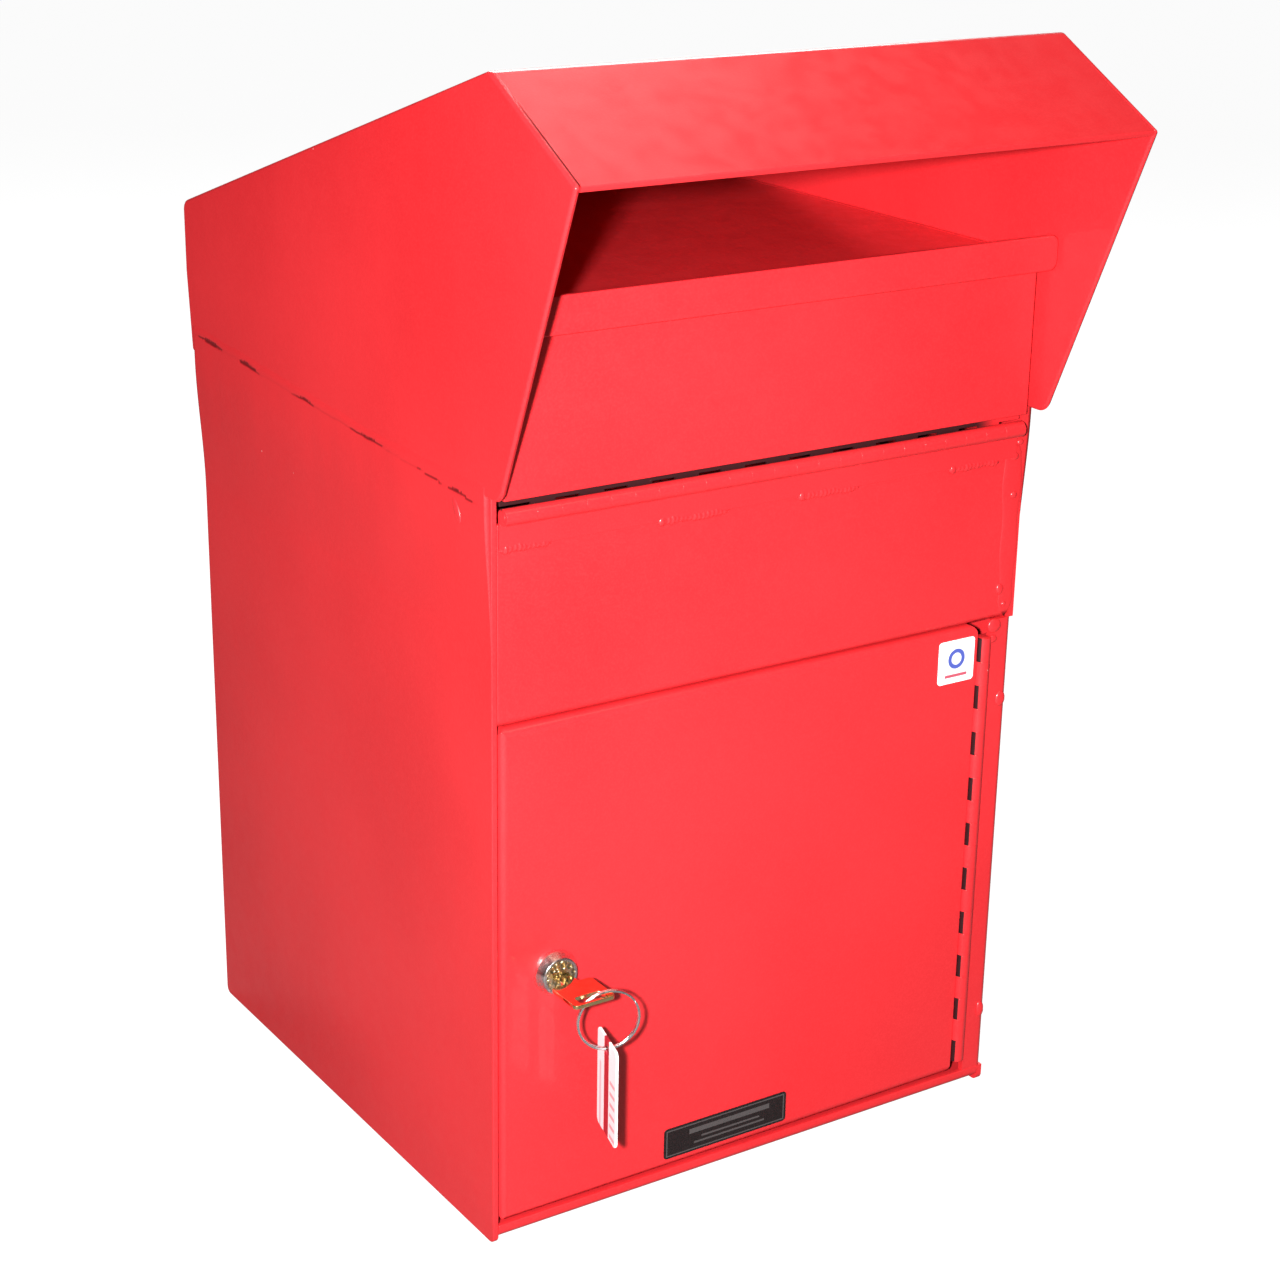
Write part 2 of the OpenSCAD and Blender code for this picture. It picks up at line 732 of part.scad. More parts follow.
left_side();
right_side();
back_panel();
bottom_panel();
fixed_front_panel();
deposit_shelf();
latch_stop();
hood_left_side();
hood_right_side();
hood_roof();
flap_panel();
pull_lip();
hopper_tray();
left_gusset();
right_gusset();
flap_hinge_fixed_leaf();
flap_hinge_moving_leaf();
flap_hinge_pin();
door_panel();
door_stiffener();
door_hinge_fixed_leaf();
door_hinge_moving_leaf();
door_hinge_pin();
lock_housing();
lock_nut();
lock_plug();
lock_cam();
cam_washer();
cam_screw();
key();
split_ring();
key_tag();
makers_plate();
light_sticker();
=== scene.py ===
"""The looks of a locking steel drop-box mailbox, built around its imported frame.

Every visible sheet is a softened copy of its node, under a red powder coat. Welds, filler, the
cam lock's flange, the split ring and the small details are surfaces worked out with numpy.
"""

import json
import math

import bmesh
import bpy
import numpy as np
from bpy.props import FloatProperty, FloatVectorProperty, PointerProperty
from mathutils import Matrix, Vector


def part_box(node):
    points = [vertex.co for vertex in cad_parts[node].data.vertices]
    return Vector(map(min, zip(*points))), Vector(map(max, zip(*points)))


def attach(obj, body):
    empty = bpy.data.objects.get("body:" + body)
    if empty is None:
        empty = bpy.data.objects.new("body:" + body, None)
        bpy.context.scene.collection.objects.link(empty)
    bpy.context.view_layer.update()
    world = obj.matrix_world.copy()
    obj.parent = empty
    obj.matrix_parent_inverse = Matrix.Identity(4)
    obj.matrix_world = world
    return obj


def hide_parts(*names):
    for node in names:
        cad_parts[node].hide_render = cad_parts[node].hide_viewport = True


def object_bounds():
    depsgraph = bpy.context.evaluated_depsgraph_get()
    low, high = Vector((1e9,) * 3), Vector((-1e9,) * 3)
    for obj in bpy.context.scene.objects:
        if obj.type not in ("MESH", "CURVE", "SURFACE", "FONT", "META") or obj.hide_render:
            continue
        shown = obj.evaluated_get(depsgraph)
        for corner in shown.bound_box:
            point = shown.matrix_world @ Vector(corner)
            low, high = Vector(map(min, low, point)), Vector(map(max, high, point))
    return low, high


bl_info = {
    "name": "Drop-Box Mailbox",
    "version": (1, 0, 0),
    "blender": (4, 5, 0),
    "location": "View3D > Sidebar > Mailbox",
    "description": "Builds the finished surfaces and materials of a steel drop-box mailbox",
    "category": "Object",
}

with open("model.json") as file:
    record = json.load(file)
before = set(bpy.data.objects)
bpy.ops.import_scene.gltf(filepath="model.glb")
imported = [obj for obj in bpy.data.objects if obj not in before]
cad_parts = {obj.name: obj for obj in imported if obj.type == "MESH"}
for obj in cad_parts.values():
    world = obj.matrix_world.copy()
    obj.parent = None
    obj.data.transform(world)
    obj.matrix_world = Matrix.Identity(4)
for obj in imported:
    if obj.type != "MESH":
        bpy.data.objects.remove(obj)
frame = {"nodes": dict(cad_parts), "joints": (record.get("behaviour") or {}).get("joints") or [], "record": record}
CAD_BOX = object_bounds()
BODY_OF = {node: body for body, nodes in frame["record"]["behaviour"]["bodies"].items() for node in nodes}
SLOT_OF = {part["node"]: part["material_slot"] for part in frame["record"]["subparts"]}
JOINTS = {joint["name"]: joint for joint in frame["joints"]}
MM = 0.001
UP = np.array([0.0, 0.0, 1.0])


# ---- Settings ----

LENGTH = {"subtype": "DISTANCE", "unit": "LENGTH"}
ANGLE = {"subtype": "ANGLE", "unit": "ROTATION"}


class MailboxPaint(bpy.types.PropertyGroup):
    """The powder coat on every sheet and weld."""

    colour: FloatVectorProperty(
        name="Colour", description="Red of the powder coat", subtype="COLOR",
        size=3, min=0, max=1, default=(0.66, 0.0215, 0.0270))
    shade: FloatVectorProperty(
        name="Shade", description="Red where the coat lies a little thicker", subtype="COLOR",
        size=3, min=0, max=1, default=(0.58, 0.0160, 0.0210))
    roughness: FloatProperty(
        name="Roughness", description="Roughness of the coat", subtype="FACTOR", min=0, max=1, default=0.34)
    peel: FloatProperty(
        name="Orange peel", description="Width of the orange peel's dimples",
        **LENGTH, min=0.0003, max=0.01, default=0.0011)
    peel_depth: FloatProperty(
        name="Peel depth", description="Depth of the orange peel",
        **LENGTH, min=0, max=0.001, default=0.00003)
    wave_depth: FloatProperty(
        name="Sheet waviness", description="Depth of the slow waves in the sheets",
        **LENGTH, min=0, max=0.005, default=0.00009)


class MailboxEdges(bpy.types.PropertyGroup):
    """How far cut and ground edges are rounded off."""

    sheet: FloatProperty(
        name="Sheet edge", description="Rounding of a cut sheet's edges",
        **LENGTH, min=0.0001, max=0.002, default=0.0006)
    ground: FloatProperty(
        name="Ground corner", description="Rounding of the hood's welded and ground corners",
        **LENGTH, min=0.0002, max=0.003, default=0.0016)
    knuckle: FloatProperty(
        name="Knuckle edge", description="Rounding of the hinge knuckles' ends",
        **LENGTH, min=0.0001, max=0.001, default=0.00012)
    small: FloatProperty(
        name="Small part edge", description="Rounding of the lock's, key's and tag's edges",
        **LENGTH, min=0.00005, max=0.001, default=0.0003)


class MailboxWelds(bpy.types.PropertyGroup):
    """The weld beads under the paint."""

    width: FloatProperty(
        name="Bead width", description="Half width of a weld bead",
        **LENGTH, min=0.0005, max=0.006, default=0.0021)
    height: FloatProperty(
        name="Bead height", description="Half height of a weld bead",
        **LENGTH, min=0.0002, max=0.004, default=0.0013)
    pitch: FloatProperty(
        name="Ripple pitch", description="Distance between a bead's ripples",
        **LENGTH, min=0.0005, max=0.01, default=0.0024)
    feather: FloatProperty(
        name="Filler height", description="How far the filler runs down from the hood's lower edge",
        **LENGTH, min=0.004, max=0.12, default=0.072)
    crack: FloatProperty(
        name="Crack depth", description="Depth of the cracks in the filler",
        **LENGTH, min=0, max=0.001, default=0.00018)
    line_front: FloatProperty(
        name="Line at the front", description="Height of the filler's line over the hood's edge, in front",
        **LENGTH, default=-0.005)
    line_back: FloatProperty(
        name="Line at the back", description="Height of the filler's line over the hood's edge, at the back",
        **LENGTH, default=0.010)


class MailboxRing(bpy.types.PropertyGroup):
    """The split ring."""

    turns: FloatProperty(
        name="Turns", description="Turns of wire in the split ring", min=1.2, max=2.5, default=1.95)
    wire: FloatProperty(
        name="Wire", description="Width of one turn across the ring's plane",
        **LENGTH, min=0.0005, max=0.002, default=0.00105)


class MailboxView(bpy.types.PropertyGroup):
    """The camera."""

    azimuth: FloatProperty(
        name="Azimuth", description="Turn of the camera round the box", **ANGLE, default=math.radians(-33.45))
    elevation: FloatProperty(
        name="Elevation", description="Height of the camera above the horizon",
        **ANGLE, default=math.radians(19.99))
    roll: FloatProperty(
        name="Roll", description="Turn of the camera about its own line of sight",
        **ANGLE, default=math.radians(1.0))
    distance: FloatProperty(
        name="Distance", description="Distance from the middle of the box", **LENGTH, default=1.3158)
    right: FloatProperty(
        name="Right", description="Camera's place to the right of the box's middle",
        **LENGTH, default=0.0038)
    up: FloatProperty(
        name="Up", description="Camera's place above the box's middle, across the view",
        **LENGTH, default=-0.0323)
    lens: FloatProperty(
        name="Lens", description="Focal length in millimetres on a 36 mm sensor", default=72.28)


class MailboxLight(bpy.types.PropertyGroup):
    """The studio's light and floor."""

    key: FloatProperty(name="Key", description="Power of the lamp beside the camera",
                       unit="POWER", default=44.0)
    key_size: FloatProperty(name="Key size", description="Width of the lamp beside the camera",
                            **LENGTH, default=0.045)
    key_left: FloatProperty(name="Key left", description="Distance of that lamp to the camera's left",
                            **LENGTH, default=0.08)
    behind: FloatProperty(name="Behind", description="Power of the panel behind the box",
                          unit="POWER", default=42.0)
    top: FloatProperty(name="Top", description="Power of the overhead panel",
                       unit="POWER", default=7.0)
    sky: FloatProperty(name="Sky", description="Strength of the even white surroundings", default=0.06)
    seen: FloatProperty(name="Backdrop", description="Brightness of the surroundings as seen",
                        default=0.97)
    glow: FloatProperty(name="Floor glow", description="Brightness added to the pale floor as seen",
                        default=0.95)


# ---- Materials ----


class Finish:
    """A node material under construction, with one Principled shader as its end."""

    def __init__(self, name, **fixed):
        self.material = bpy.data.materials.new(name)
        self.material.use_nodes = True
        self.tree = self.material.node_tree
        self.tree.nodes.clear()
        self.shader = self.node("ShaderNodeBsdfPrincipled", fixed)
        output = self.node("ShaderNodeOutputMaterial")
        self.tree.links.new(self.shader.outputs[0], output.inputs[0])

    def node(self, kind, inputs=None, **settings):
        """Adds a node; an input is a constant, or an output socket to link."""
        made = self.tree.nodes.new(kind)
        for key, value in settings.items():
            setattr(made, key, value)
        for key, value in (inputs or {}).items():
            socket = made.inputs[key]
            if isinstance(value, bpy.types.NodeSocket):
                self.tree.links.new(value, socket)
            elif hasattr(value, "__len__") and len(value) == 3 and socket.type == "RGBA":
                socket.default_value = (*value, 1.0)
            else:
                socket.default_value = value
        return made

    def place(self, centre=(0, 0, 0), turn=(0, 0, 0), scale=(1, 1, 1)):
        """Object coordinates, measured from centre along axes turned by turn."""
        coordinates = self.node("ShaderNodeTexCoord").outputs["Object"]
        inputs = {"Vector": coordinates, "Location": centre, "Rotation": turn, "Scale": scale}
        return self.node("ShaderNodeMapping", inputs, vector_type="TEXTURE").outputs[0]

    def noise(self, vector, size, detail=2.0, rough=0.5):
        """Noise whose features are about size metres wide."""
        inputs = {"Vector": vector, "Scale": 1 / size, "Detail": detail, "Roughness": rough}
        return self.node("ShaderNodeTexNoise", inputs).outputs["Fac"]

    def cells(self, vector, size, feature="F1"):
        """Distance from the nearest of many points about size metres apart."""
        inputs = {"Vector": vector, "Scale": 1 / size}
        return self.node("ShaderNodeTexVoronoi", inputs, feature=feature).outputs["Distance"]

    def spread(self, value, low, high, to_low=0.0, to_high=1.0, smooth=True):
        """value carried from low..high to to_low..to_high, and held there outside."""
        inputs = {"Value": value, "From Min": low, "From Max": high, "To Min": to_low, "To Max": to_high}
        kind = "SMOOTHSTEP" if smooth else "LINEAR"
        return self.node("ShaderNodeMapRange", inputs, interpolation_type=kind).outputs["Result"]

    def sum(self, operation, first, second=0.0):
        return self.node("ShaderNodeMath", {0: first, 1: second}, operation=operation).outputs[0]

    def times(self, first, second):
        return self.sum("MULTIPLY", first, second)

    def band(self, value, low, high, soft):
        """1 between low and high and 0 outside, with soft edges inside them."""
        rise = self.spread(value, low, low + soft)
        return self.times(rise, self.spread(value, high - soft, high, 1, 0))

    def mix(self, share, first, second):
        """first where share is 0, second where it is 1."""
        made = self.node("ShaderNodeMix", {0: share, 6: first, 7: second}, data_type="RGBA")
        return made.outputs[2]

    def bump(self, height, depth, under=None):
        """Bumps of that depth in metres, laid over the bumps under."""
        inputs = {"Height": height, "Distance": depth, "Strength": 1.0}
        if under is not None:
            inputs["Normal"] = under
        return self.node("ShaderNodeBump", inputs).outputs["Normal"]

    def split(self, vector):
        return self.node("ShaderNodeSeparateXYZ", {0: vector}).outputs

    def done(self, **sockets):
        """Links the shader's inputs, named with underscores, and gives the material."""
        for key, value in sockets.items():
            self.tree.links.new(value, self.shader.inputs[key.replace("_", " ")])
        return self.material


def powder_coat(bare=None, axis=(0, 0, 0)):
    """Red powder coat: slow change of depth, orange peel, and a few specks of dust.

    With bare set to "cracks" it darkens by the piece's own crack attribute, painting shade inside
    the filler's cracks. With bare set to "above" or "beside" and an axis point, it paints shade: it is
    coloured dark in the recess above and behind a hinge that runs along X there, or on the left flank
    of one that runs along Z.
    """
    paint = bpy.context.scene.mailbox_paint
    coat = Finish("red_powder_coat", **{
        "Specular IOR Level": 0.38, "Coat Weight": 0.35, "Coat Roughness": 0.08, "Coat IOR": 1.5})
    place = coat.place()
    slow = coat.noise(place, 0.16, 2.0)
    fine = coat.noise(place, 0.0009, 2.0)
    speck = coat.spread(coat.cells(place, 0.021), 0.012, 0.022, 1.0, 0.0)
    rare = coat.spread(coat.noise(place, 0.034, 0.0), 0.64, 0.67)
    dust = coat.times(speck, rare)
    body = coat.mix(coat.spread(slow, 0.3, 0.7), tuple(paint.colour), tuple(paint.shade))
    grainy = coat.mix(coat.spread(fine, 0.35, 0.8, 0.0, 0.25), body, (0.74, 0.045, 0.050))
    colour = coat.mix(coat.times(dust, 0.7), grainy, (0.95, 0.62, 0.60))
    patch = coat.noise(place, 0.012, 3.0)
    rough = coat.spread(patch, 0.3, 0.7, paint.roughness - 0.05, paint.roughness + 0.05)
    if bare == "cracks":
        coat.material.name = "red_powder_coat_cracks_painted_shade"
        # Painted shade: near black where the crack attribute is high, inside the filler's cracks and along its
        # line.
        crack = coat.node("ShaderNodeAttribute", attribute_name="crack").outputs["Fac"]
        colour = coat.mix(crack, colour, (0.16, 0.003, 0.005))
    elif bare == "above":
        coat.material.name = "red_powder_coat_painted_shade_above"
        # Painted shade: near black on the knuckles and leaf just above and behind the hinge's axis, in the recess
        # under the flap panel's lower edge, fading out towards the hinge's right end.
        x, y, z = coat.split(coat.place(axis))
        above, behind = coat.spread(z, 1.9 * MM, 3.4 * MM), coat.spread(y, -0.6 * MM, 0.2 * MM)
        ending = coat.spread(x, 118 * MM, 134 * MM, 1.0, 0.0)
        narrow_dark_band = coat.times(ending, coat.times(above, behind))
        colour = coat.mix(narrow_dark_band, colour, (0.030, 0.007, 0.008))
    elif bare == "beside":
        coat.material.name = "red_powder_coat_painted_shade_beside"
        # Painted shade: near black on the knuckles' flank more than about 3 mm left of the hinge's axis, for the
        # shaded slots between barrel and door.
        x, _, _ = coat.split(coat.place(axis))
        colour = coat.mix(coat.spread(x, -3.1 * MM, -2.8 * MM, 1, 0), colour, (0.016, 0.003, 0.004))
    waves = coat.bump(coat.noise(place, 0.11, 1.0), paint.wave_depth)
    peel = coat.bump(coat.noise(place, paint.peel, 1.5), paint.peel_depth, waves)
    return coat.done(Base_Color=colour, Roughness=rough, Normal=coat.bump(dust, 0.0001, peel))


def lock_flange_steel(axis_point):
    """Nickelled steel turned on a lathe: fine rings about the lock's axis, a little tarnish."""
    steel = Finish("lock_flange_steel", Metallic=1.0)
    place = steel.place(axis_point)
    x, y, z = steel.split(place)
    radius = steel.sum("SQRT", steel.sum("ADD", steel.times(x, x), steel.times(z, z)))
    wander = steel.times(steel.noise(place, 0.004, 2.0), 0.0003)
    ring = steel.sum("ADD", radius, wander)
    rings = steel.sum("SINE", steel.times(ring, 2 * math.pi / 0.00028))
    dull = steel.noise(place, 0.003, 4.0)
    colour = steel.mix(steel.spread(dull, 0.35, 0.75), (0.80, 0.79, 0.78), (0.60, 0.57, 0.56))
    rough = steel.spread(dull, 0.3, 0.8, 0.16, 0.34)
    return steel.done(Base_Color=colour, Roughness=rough, Normal=steel.bump(rings, 0.000012))


def plain_steel(name, colour, rough, size):
    """Zinc-plated steel with fine scratches and blotches of dullness."""
    steel = Finish(name, Metallic=1.0)
    place = steel.place()
    blotch = steel.noise(place, size, 4.0)
    scratch = steel.noise(steel.place(scale=(0.0002, 0.004, 0.004)), 1.0, 2.0)
    darker = tuple(0.72 * part for part in colour)
    tint = steel.mix(steel.spread(blotch, 0.3, 0.75), colour, darker)
    roughness = steel.spread(blotch, 0.3, 0.75, rough - 0.06, rough + 0.1)
    return steel.done(Base_Color=tint, Roughness=roughness, Normal=steel.bump(scratch, 0.00001))


def plug_brass():
    """Cast and milled brass: small pits, scratches round the keyway and dark dirt in the hollows."""
    brass = Finish("plug_brass", Metallic=1.0)
    place = brass.place()
    pits = brass.spread(brass.cells(place, 0.0026), 0.2, 0.6)
    grit = brass.noise(place, 0.0005, 3.0)
    dirt = brass.spread(brass.sum("ADD", pits, grit), 0.45, 1.1)
    colour = brass.mix(dirt, (0.30, 0.22, 0.10), (0.86, 0.74, 0.45))
    height = brass.sum("ADD", pits, brass.times(grit, 0.5))
    rough = brass.spread(dirt, 0.0, 1.0, 0.45, 0.17)
    return brass.done(Base_Color=colour, Roughness=rough, Normal=brass.bump(height, 0.00045))


def key_brass():
    """Polished brass with faint lengthwise scratches and fingermarks."""
    brass = Finish("key_brass", Metallic=1.0)
    place = brass.place()
    scratch = brass.noise(brass.place(scale=(0.0008, 0.012, 0.0008)), 1.0, 3.0)
    mark = brass.noise(place, 0.006, 3.0)
    colour = brass.mix(brass.spread(mark, 0.35, 0.7), (0.90, 0.70, 0.36), (0.80, 0.58, 0.27))
    rough = brass.spread(mark, 0.35, 0.75, 0.07, 0.19)
    return brass.done(Base_Color=colour, Roughness=rough, Normal=brass.bump(scratch, 0.000012))


def ring_nickel():
    """Bright nickel on the split ring, with small scuffs."""
    nickel = Finish("ring_nickel", Metallic=1.0)
    place = nickel.place()
    scuff = nickel.noise(place, 0.0018, 4.0)
    colour = nickel.mix(nickel.spread(scuff, 0.4, 0.75), (0.80, 0.80, 0.81), (0.55, 0.54, 0.55))
    rough = nickel.spread(scuff, 0.3, 0.75, 0.12, 0.33)
    return nickel.done(Base_Color=colour, Roughness=rough, Normal=nickel.bump(scuff, 0.00003))


def tag_card():
    """White tag with a dark red middle stripe, pink bars and a thin line, read from the tag's own map."""
    card = Finish("tag_card", **{"Coat Weight": 0.4, "Coat Roughness": 0.1})
    across, along, _ = card.split(card.node("ShaderNodeUVMap", uv_map="tag").outputs[0])
    stripe = card.band(across, 0.36, 0.62, 0.02)
    row = card.sum("FRACT", card.times(along, 9.0))
    bar = card.band(row, 0.28, 0.67, 0.05)
    side = card.band(across, 0.66, 0.94, 0.02)
    low = card.spread(along, 0.66, 0.70, 1, 0)
    bars = card.times(card.times(bar, side), low)
    narrow_dark_band = card.band(across, 0.12, 0.22, 0.02)
    fibre = card.noise(card.place(), 0.0009, 3.0)
    white = card.mix(card.spread(fibre, 0.3, 0.8), (0.93, 0.94, 0.96), (0.86, 0.87, 0.90))
    pink = card.mix(card.times(bars, 0.75), white, (0.66, 0.22, 0.28))
    lined = card.mix(card.times(card.times(narrow_dark_band, low), 0.6), pink, (0.55, 0.30, 0.36))
    colour = card.mix(stripe, lined, (0.30, 0.012, 0.025))
    rough = card.spread(fibre, 0.3, 0.7, 0.38, 0.5)
    return card.done(Base_Color=colour, Roughness=rough, Normal=card.bump(fibre, 0.00002))


def dark_label():
    """Black vinyl plate with a thin pale border and plain grey bars, read from the plate's own map."""
    vinyl = Finish("dark_label_vinyl", **{"Coat Weight": 0.2, "Coat Roughness": 0.12})
    across, along, _ = vinyl.split(vinyl.node("ShaderNodeUVMap", uv_map="label").outputs[0])
    grain = vinyl.noise(vinyl.place(), 0.0006, 3.0)
    band = vinyl.band
    inner = vinyl.times(band(across, 0.025, 0.975, 0.003), band(along, 0.10, 0.90, 0.01))
    outer = vinyl.times(band(across, 0.016, 0.984, 0.003), band(along, 0.06, 0.94, 0.01))
    border = vinyl.sum("SUBTRACT", outer, inner)
    wide = vinyl.times(band(across, 0.20, 0.86, 0.004), band(along, 0.60, 0.78, 0.02))
    middle = vinyl.times(band(across, 0.30, 0.78, 0.004), band(along, 0.40, 0.48, 0.02))
    lower = vinyl.times(band(across, 0.24, 0.82, 0.004), band(along, 0.24, 0.32, 0.02))
    bars = vinyl.sum("ADD", wide, vinyl.sum("ADD", middle, lower))
    black = vinyl.mix(vinyl.spread(grain, 0.3, 0.8), (0.005, 0.003, 0.003), (0.014, 0.008, 0.009))
    lined = vinyl.mix(vinyl.times(border, 0.28), black, (0.20, 0.18, 0.18))
    colour = vinyl.mix(vinyl.times(bars, 0.28), lined, (0.20, 0.18, 0.18))
    rough = vinyl.spread(grain, 0.3, 0.7, 0.24, 0.36)
    return vinyl.done(Base_Color=colour, Roughness=rough, Normal=vinyl.bump(grain, 0.00001))


def light_label():
    """White vinyl sticker with a plain blue ring over one dark red bar, read from the sticker's map."""
    vinyl = Finish("light_label_vinyl", **{"Coat Weight": 0.5, "Coat Roughness": 0.12})
    across, along, _ = vinyl.split(vinyl.node("ShaderNodeUVMap", uv_map="label").outputs[0])
    grain = vinyl.noise(vinyl.place(), 0.0008, 3.0)
    dx = vinyl.sum("SUBTRACT", across, 0.5)
    dz = vinyl.sum("SUBTRACT", along, 0.56)
    far = vinyl.sum("SQRT", vinyl.sum("ADD", vinyl.times(dx, dx), vinyl.times(dz, dz)))
    disc = vinyl.spread(far, 0.225, 0.24, 1, 0)
    hole = vinyl.spread(far, 0.13, 0.145, 1, 0)
    ring = vinyl.sum("SUBTRACT", disc, hole)
    under = vinyl.band(along, 0.13, 0.22, 0.02)
    wide = vinyl.band(across, 0.18, 0.82, 0.02)
    white = vinyl.mix(vinyl.spread(grain, 0.3, 0.8), (0.90, 0.90, 0.92), (0.82, 0.83, 0.86))
    ringed = vinyl.mix(ring, white, (0.07, 0.10, 0.42))
    colour = vinyl.mix(vinyl.times(under, wide), ringed, (0.50, 0.08, 0.12))
    rough = vinyl.spread(grain, 0.3, 0.7, 0.28, 0.4)
    return vinyl.done(Base_Color=colour, Roughness=rough, Normal=vinyl.bump(grain, 0.00001))


MADE = {}


def finish_named(make, *given):
    """The material that make gives, made once."""
    key = (make.__name__, *map(str, given))
    if key not in MADE:
        MADE[key] = make(*given)
    return MADE[key]


# ---- Surfaces ----


def new_piece(name, points, faces):
    """A smooth mesh piece from an array of points and an array or list of faces."""
    mesh = bpy.data.meshes.new(name)
    mesh.from_pydata(points.reshape(-1, 3).tolist(), [], [list(face) for face in faces])
    mesh.validate()
    mesh.shade_smooth()
    piece = bpy.data.objects.new(name, mesh)
    bpy.context.scene.collection.objects.link(piece)
    return piece


def face_grid(rows, columns, wrap_rows=False, wrap_columns=False):
    """The quads between neighbours of a rows x columns grid, wrapped round where asked."""
    index = np.arange(rows * columns).reshape(rows, columns)
    if wrap_rows:
        index = np.vstack([index, index[:1]])
    if wrap_columns:
        index = np.hstack([index, index[:, :1]])
    corners = (index[:-1, :-1], index[:-1, 1:], index[1:, 1:], index[1:, :-1])
    return np.stack(corners, -1).reshape(-1, 4)


def outward(piece):
    """Merges a piece's doubles, so that poles close, and turns its faces outwards."""
    shape = bmesh.new()
    shape.from_mesh(piece.data)
    bmesh.ops.remove_doubles(shape, verts=shape.verts, dist=1e-7)
    bmesh.ops.recalc_face_normals(shape, faces=shape.faces)
    shape.to_mesh(piece.data)
    shape.free()
    piece.data.shade_smooth()
    return piece


def realised(piece):
    """Puts the result of a piece's modifiers into its mesh."""
    graph = bpy.context.evaluated_depsgraph_get()
    mesh = bpy.data.meshes.new_from_object(piece.evaluated_get(graph))
    mesh.name = piece.name
    piece.modifiers.clear()
    piece.data = mesh
    return piece


def place_piece(piece, material, body="shell", slot="coated_steel", *nodes):
    """Gives a piece its finish and its body, and hides the nodes that it stands for."""
    piece.data.materials.clear()
    piece.data.materials.append(material)
    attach(piece, body)
    if nodes:
        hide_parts(*nodes)
    return piece


FOLDED_SHEETS = ("right_side", "door_panel", "bottom_panel", "hopper_tray")
SHARP_TURN = 35


def softened(node, radius, material, left_sharp=None, steps=3, reshape=None):
    """A copy of a node with its sharp edges rounded off, except where left_sharp says so.

    An edge is sharp where its two faces turn by more than SHARP_TURN degrees. left_sharp is given the
    middles of all edges as an array and says which of them join the next sheet flush. reshape is
    given the copy's points and gives where they go.
    """
    shape = bmesh.new()
    shape.from_mesh(frame["nodes"][node].data)
    bmesh.ops.remove_doubles(shape, verts=shape.verts, dist=1e-6)
    bmesh.ops.dissolve_limit(shape, angle_limit=math.radians(0.5), verts=shape.verts, edges=shape.edges)
    mesh = bpy.data.meshes.new("soft_" + node)
    shape.to_mesh(mesh)
    shape.free()
    if reshape is not None:
        mesh.vertices.foreach_set("co", reshape(mesh_points(mesh)).ravel())
    piece = bpy.data.objects.new("soft_" + node, mesh)
    bpy.context.scene.collection.objects.link(piece)
    mesh.shade_smooth()
    bevel = piece.modifiers.new("edges", "BEVEL")
    bevel.width = radius
    bevel.segments = steps
    bevel.use_clamp_overlap = node in FOLDED_SHEETS
    bevel.limit_method = "ANGLE"
    bevel.angle_limit = math.radians(SHARP_TURN)
    if left_sharp is not None:
        bevel.limit_method = "WEIGHT"
        weights = mesh.attributes.new("bevel_weight_edge", "FLOAT", "EDGE")
        middles, turns = edge_turns(mesh)
        flush = left_sharp(middles)
        weights.data.foreach_set("value", ((turns > SHARP_TURN) & ~flush).astype(np.float32))
        sharp = mesh.attributes.new("sharp_edge", "BOOLEAN", "EDGE")
        sharp.data.foreach_set("value", (turns > SHARP_TURN) & flush)
    normals = piece.modifiers.new("normals", "WEIGHTED_NORMAL")
    normals.weight = 60
    normals.keep_sharp = True
    realised(piece)
    return place_piece(piece, material, BODY_OF[node], SLOT_OF[node], node)


def mesh_points(mesh):
    """A mesh's points as an array."""
    points = np.empty(3 * len(mesh.vertices), np.float32)
    mesh.vertices.foreach_get("co", points)
    return points.reshape(-1, 3)


def edge_turns(mesh):
    """The middle of each edge of a closed mesh, and the angle in degrees between its two faces."""
    count = len(mesh.edges)
    ends = np.empty(2 * count, np.int64)
    mesh.edges.foreach_get("vertices", ends)
    normals = np.empty(3 * len(mesh.polygons))
    mesh.polygons.foreach_get("normal", normals)
    sizes = np.empty(len(mesh.polygons), np.int64)
    mesh.polygons.foreach_get("loop_total", sizes)
    edge_of = np.empty(len(mesh.loops), np.int64)
    mesh.loops.foreach_get("edge_index", edge_of)
    face_of = np.repeat(np.arange(len(sizes)), sizes)
    pairs = face_of[np.argsort(edge_of, kind="stable")].reshape(-1, 2)
    facing = normals.reshape(-1, 3)[pairs]
    turn = np.degrees(np.arccos(np.clip((facing[:, 0] * facing[:, 1]).sum(1), -1, 1)))
    return mesh_points(mesh)[ends.reshape(-1, 2)].mean(1), turn


def smooth_step(value):
    """Rises from 0 to 1 as value does: three times its square less twice its cube."""
    held = np.clip(value, 0, 1)
    return held * held * (3 - 2 * held)


def wander(length, seed, size, reach):
    """A slow random wave between -reach and reach: a sum of four sines of falling size."""
    rng = np.random.default_rng(seed)
    waves = np.arange(1, 5)[:, None]
    phases = rng.uniform(0, 2 * np.pi, (4, 1))
    speeds = rng.uniform(0.7, 1.3, (4, 1)) * waves
    total = (np.sin(2 * np.pi * speeds * length[None] / size + phases) / waves).sum(0)
    return reach * total / 2.1


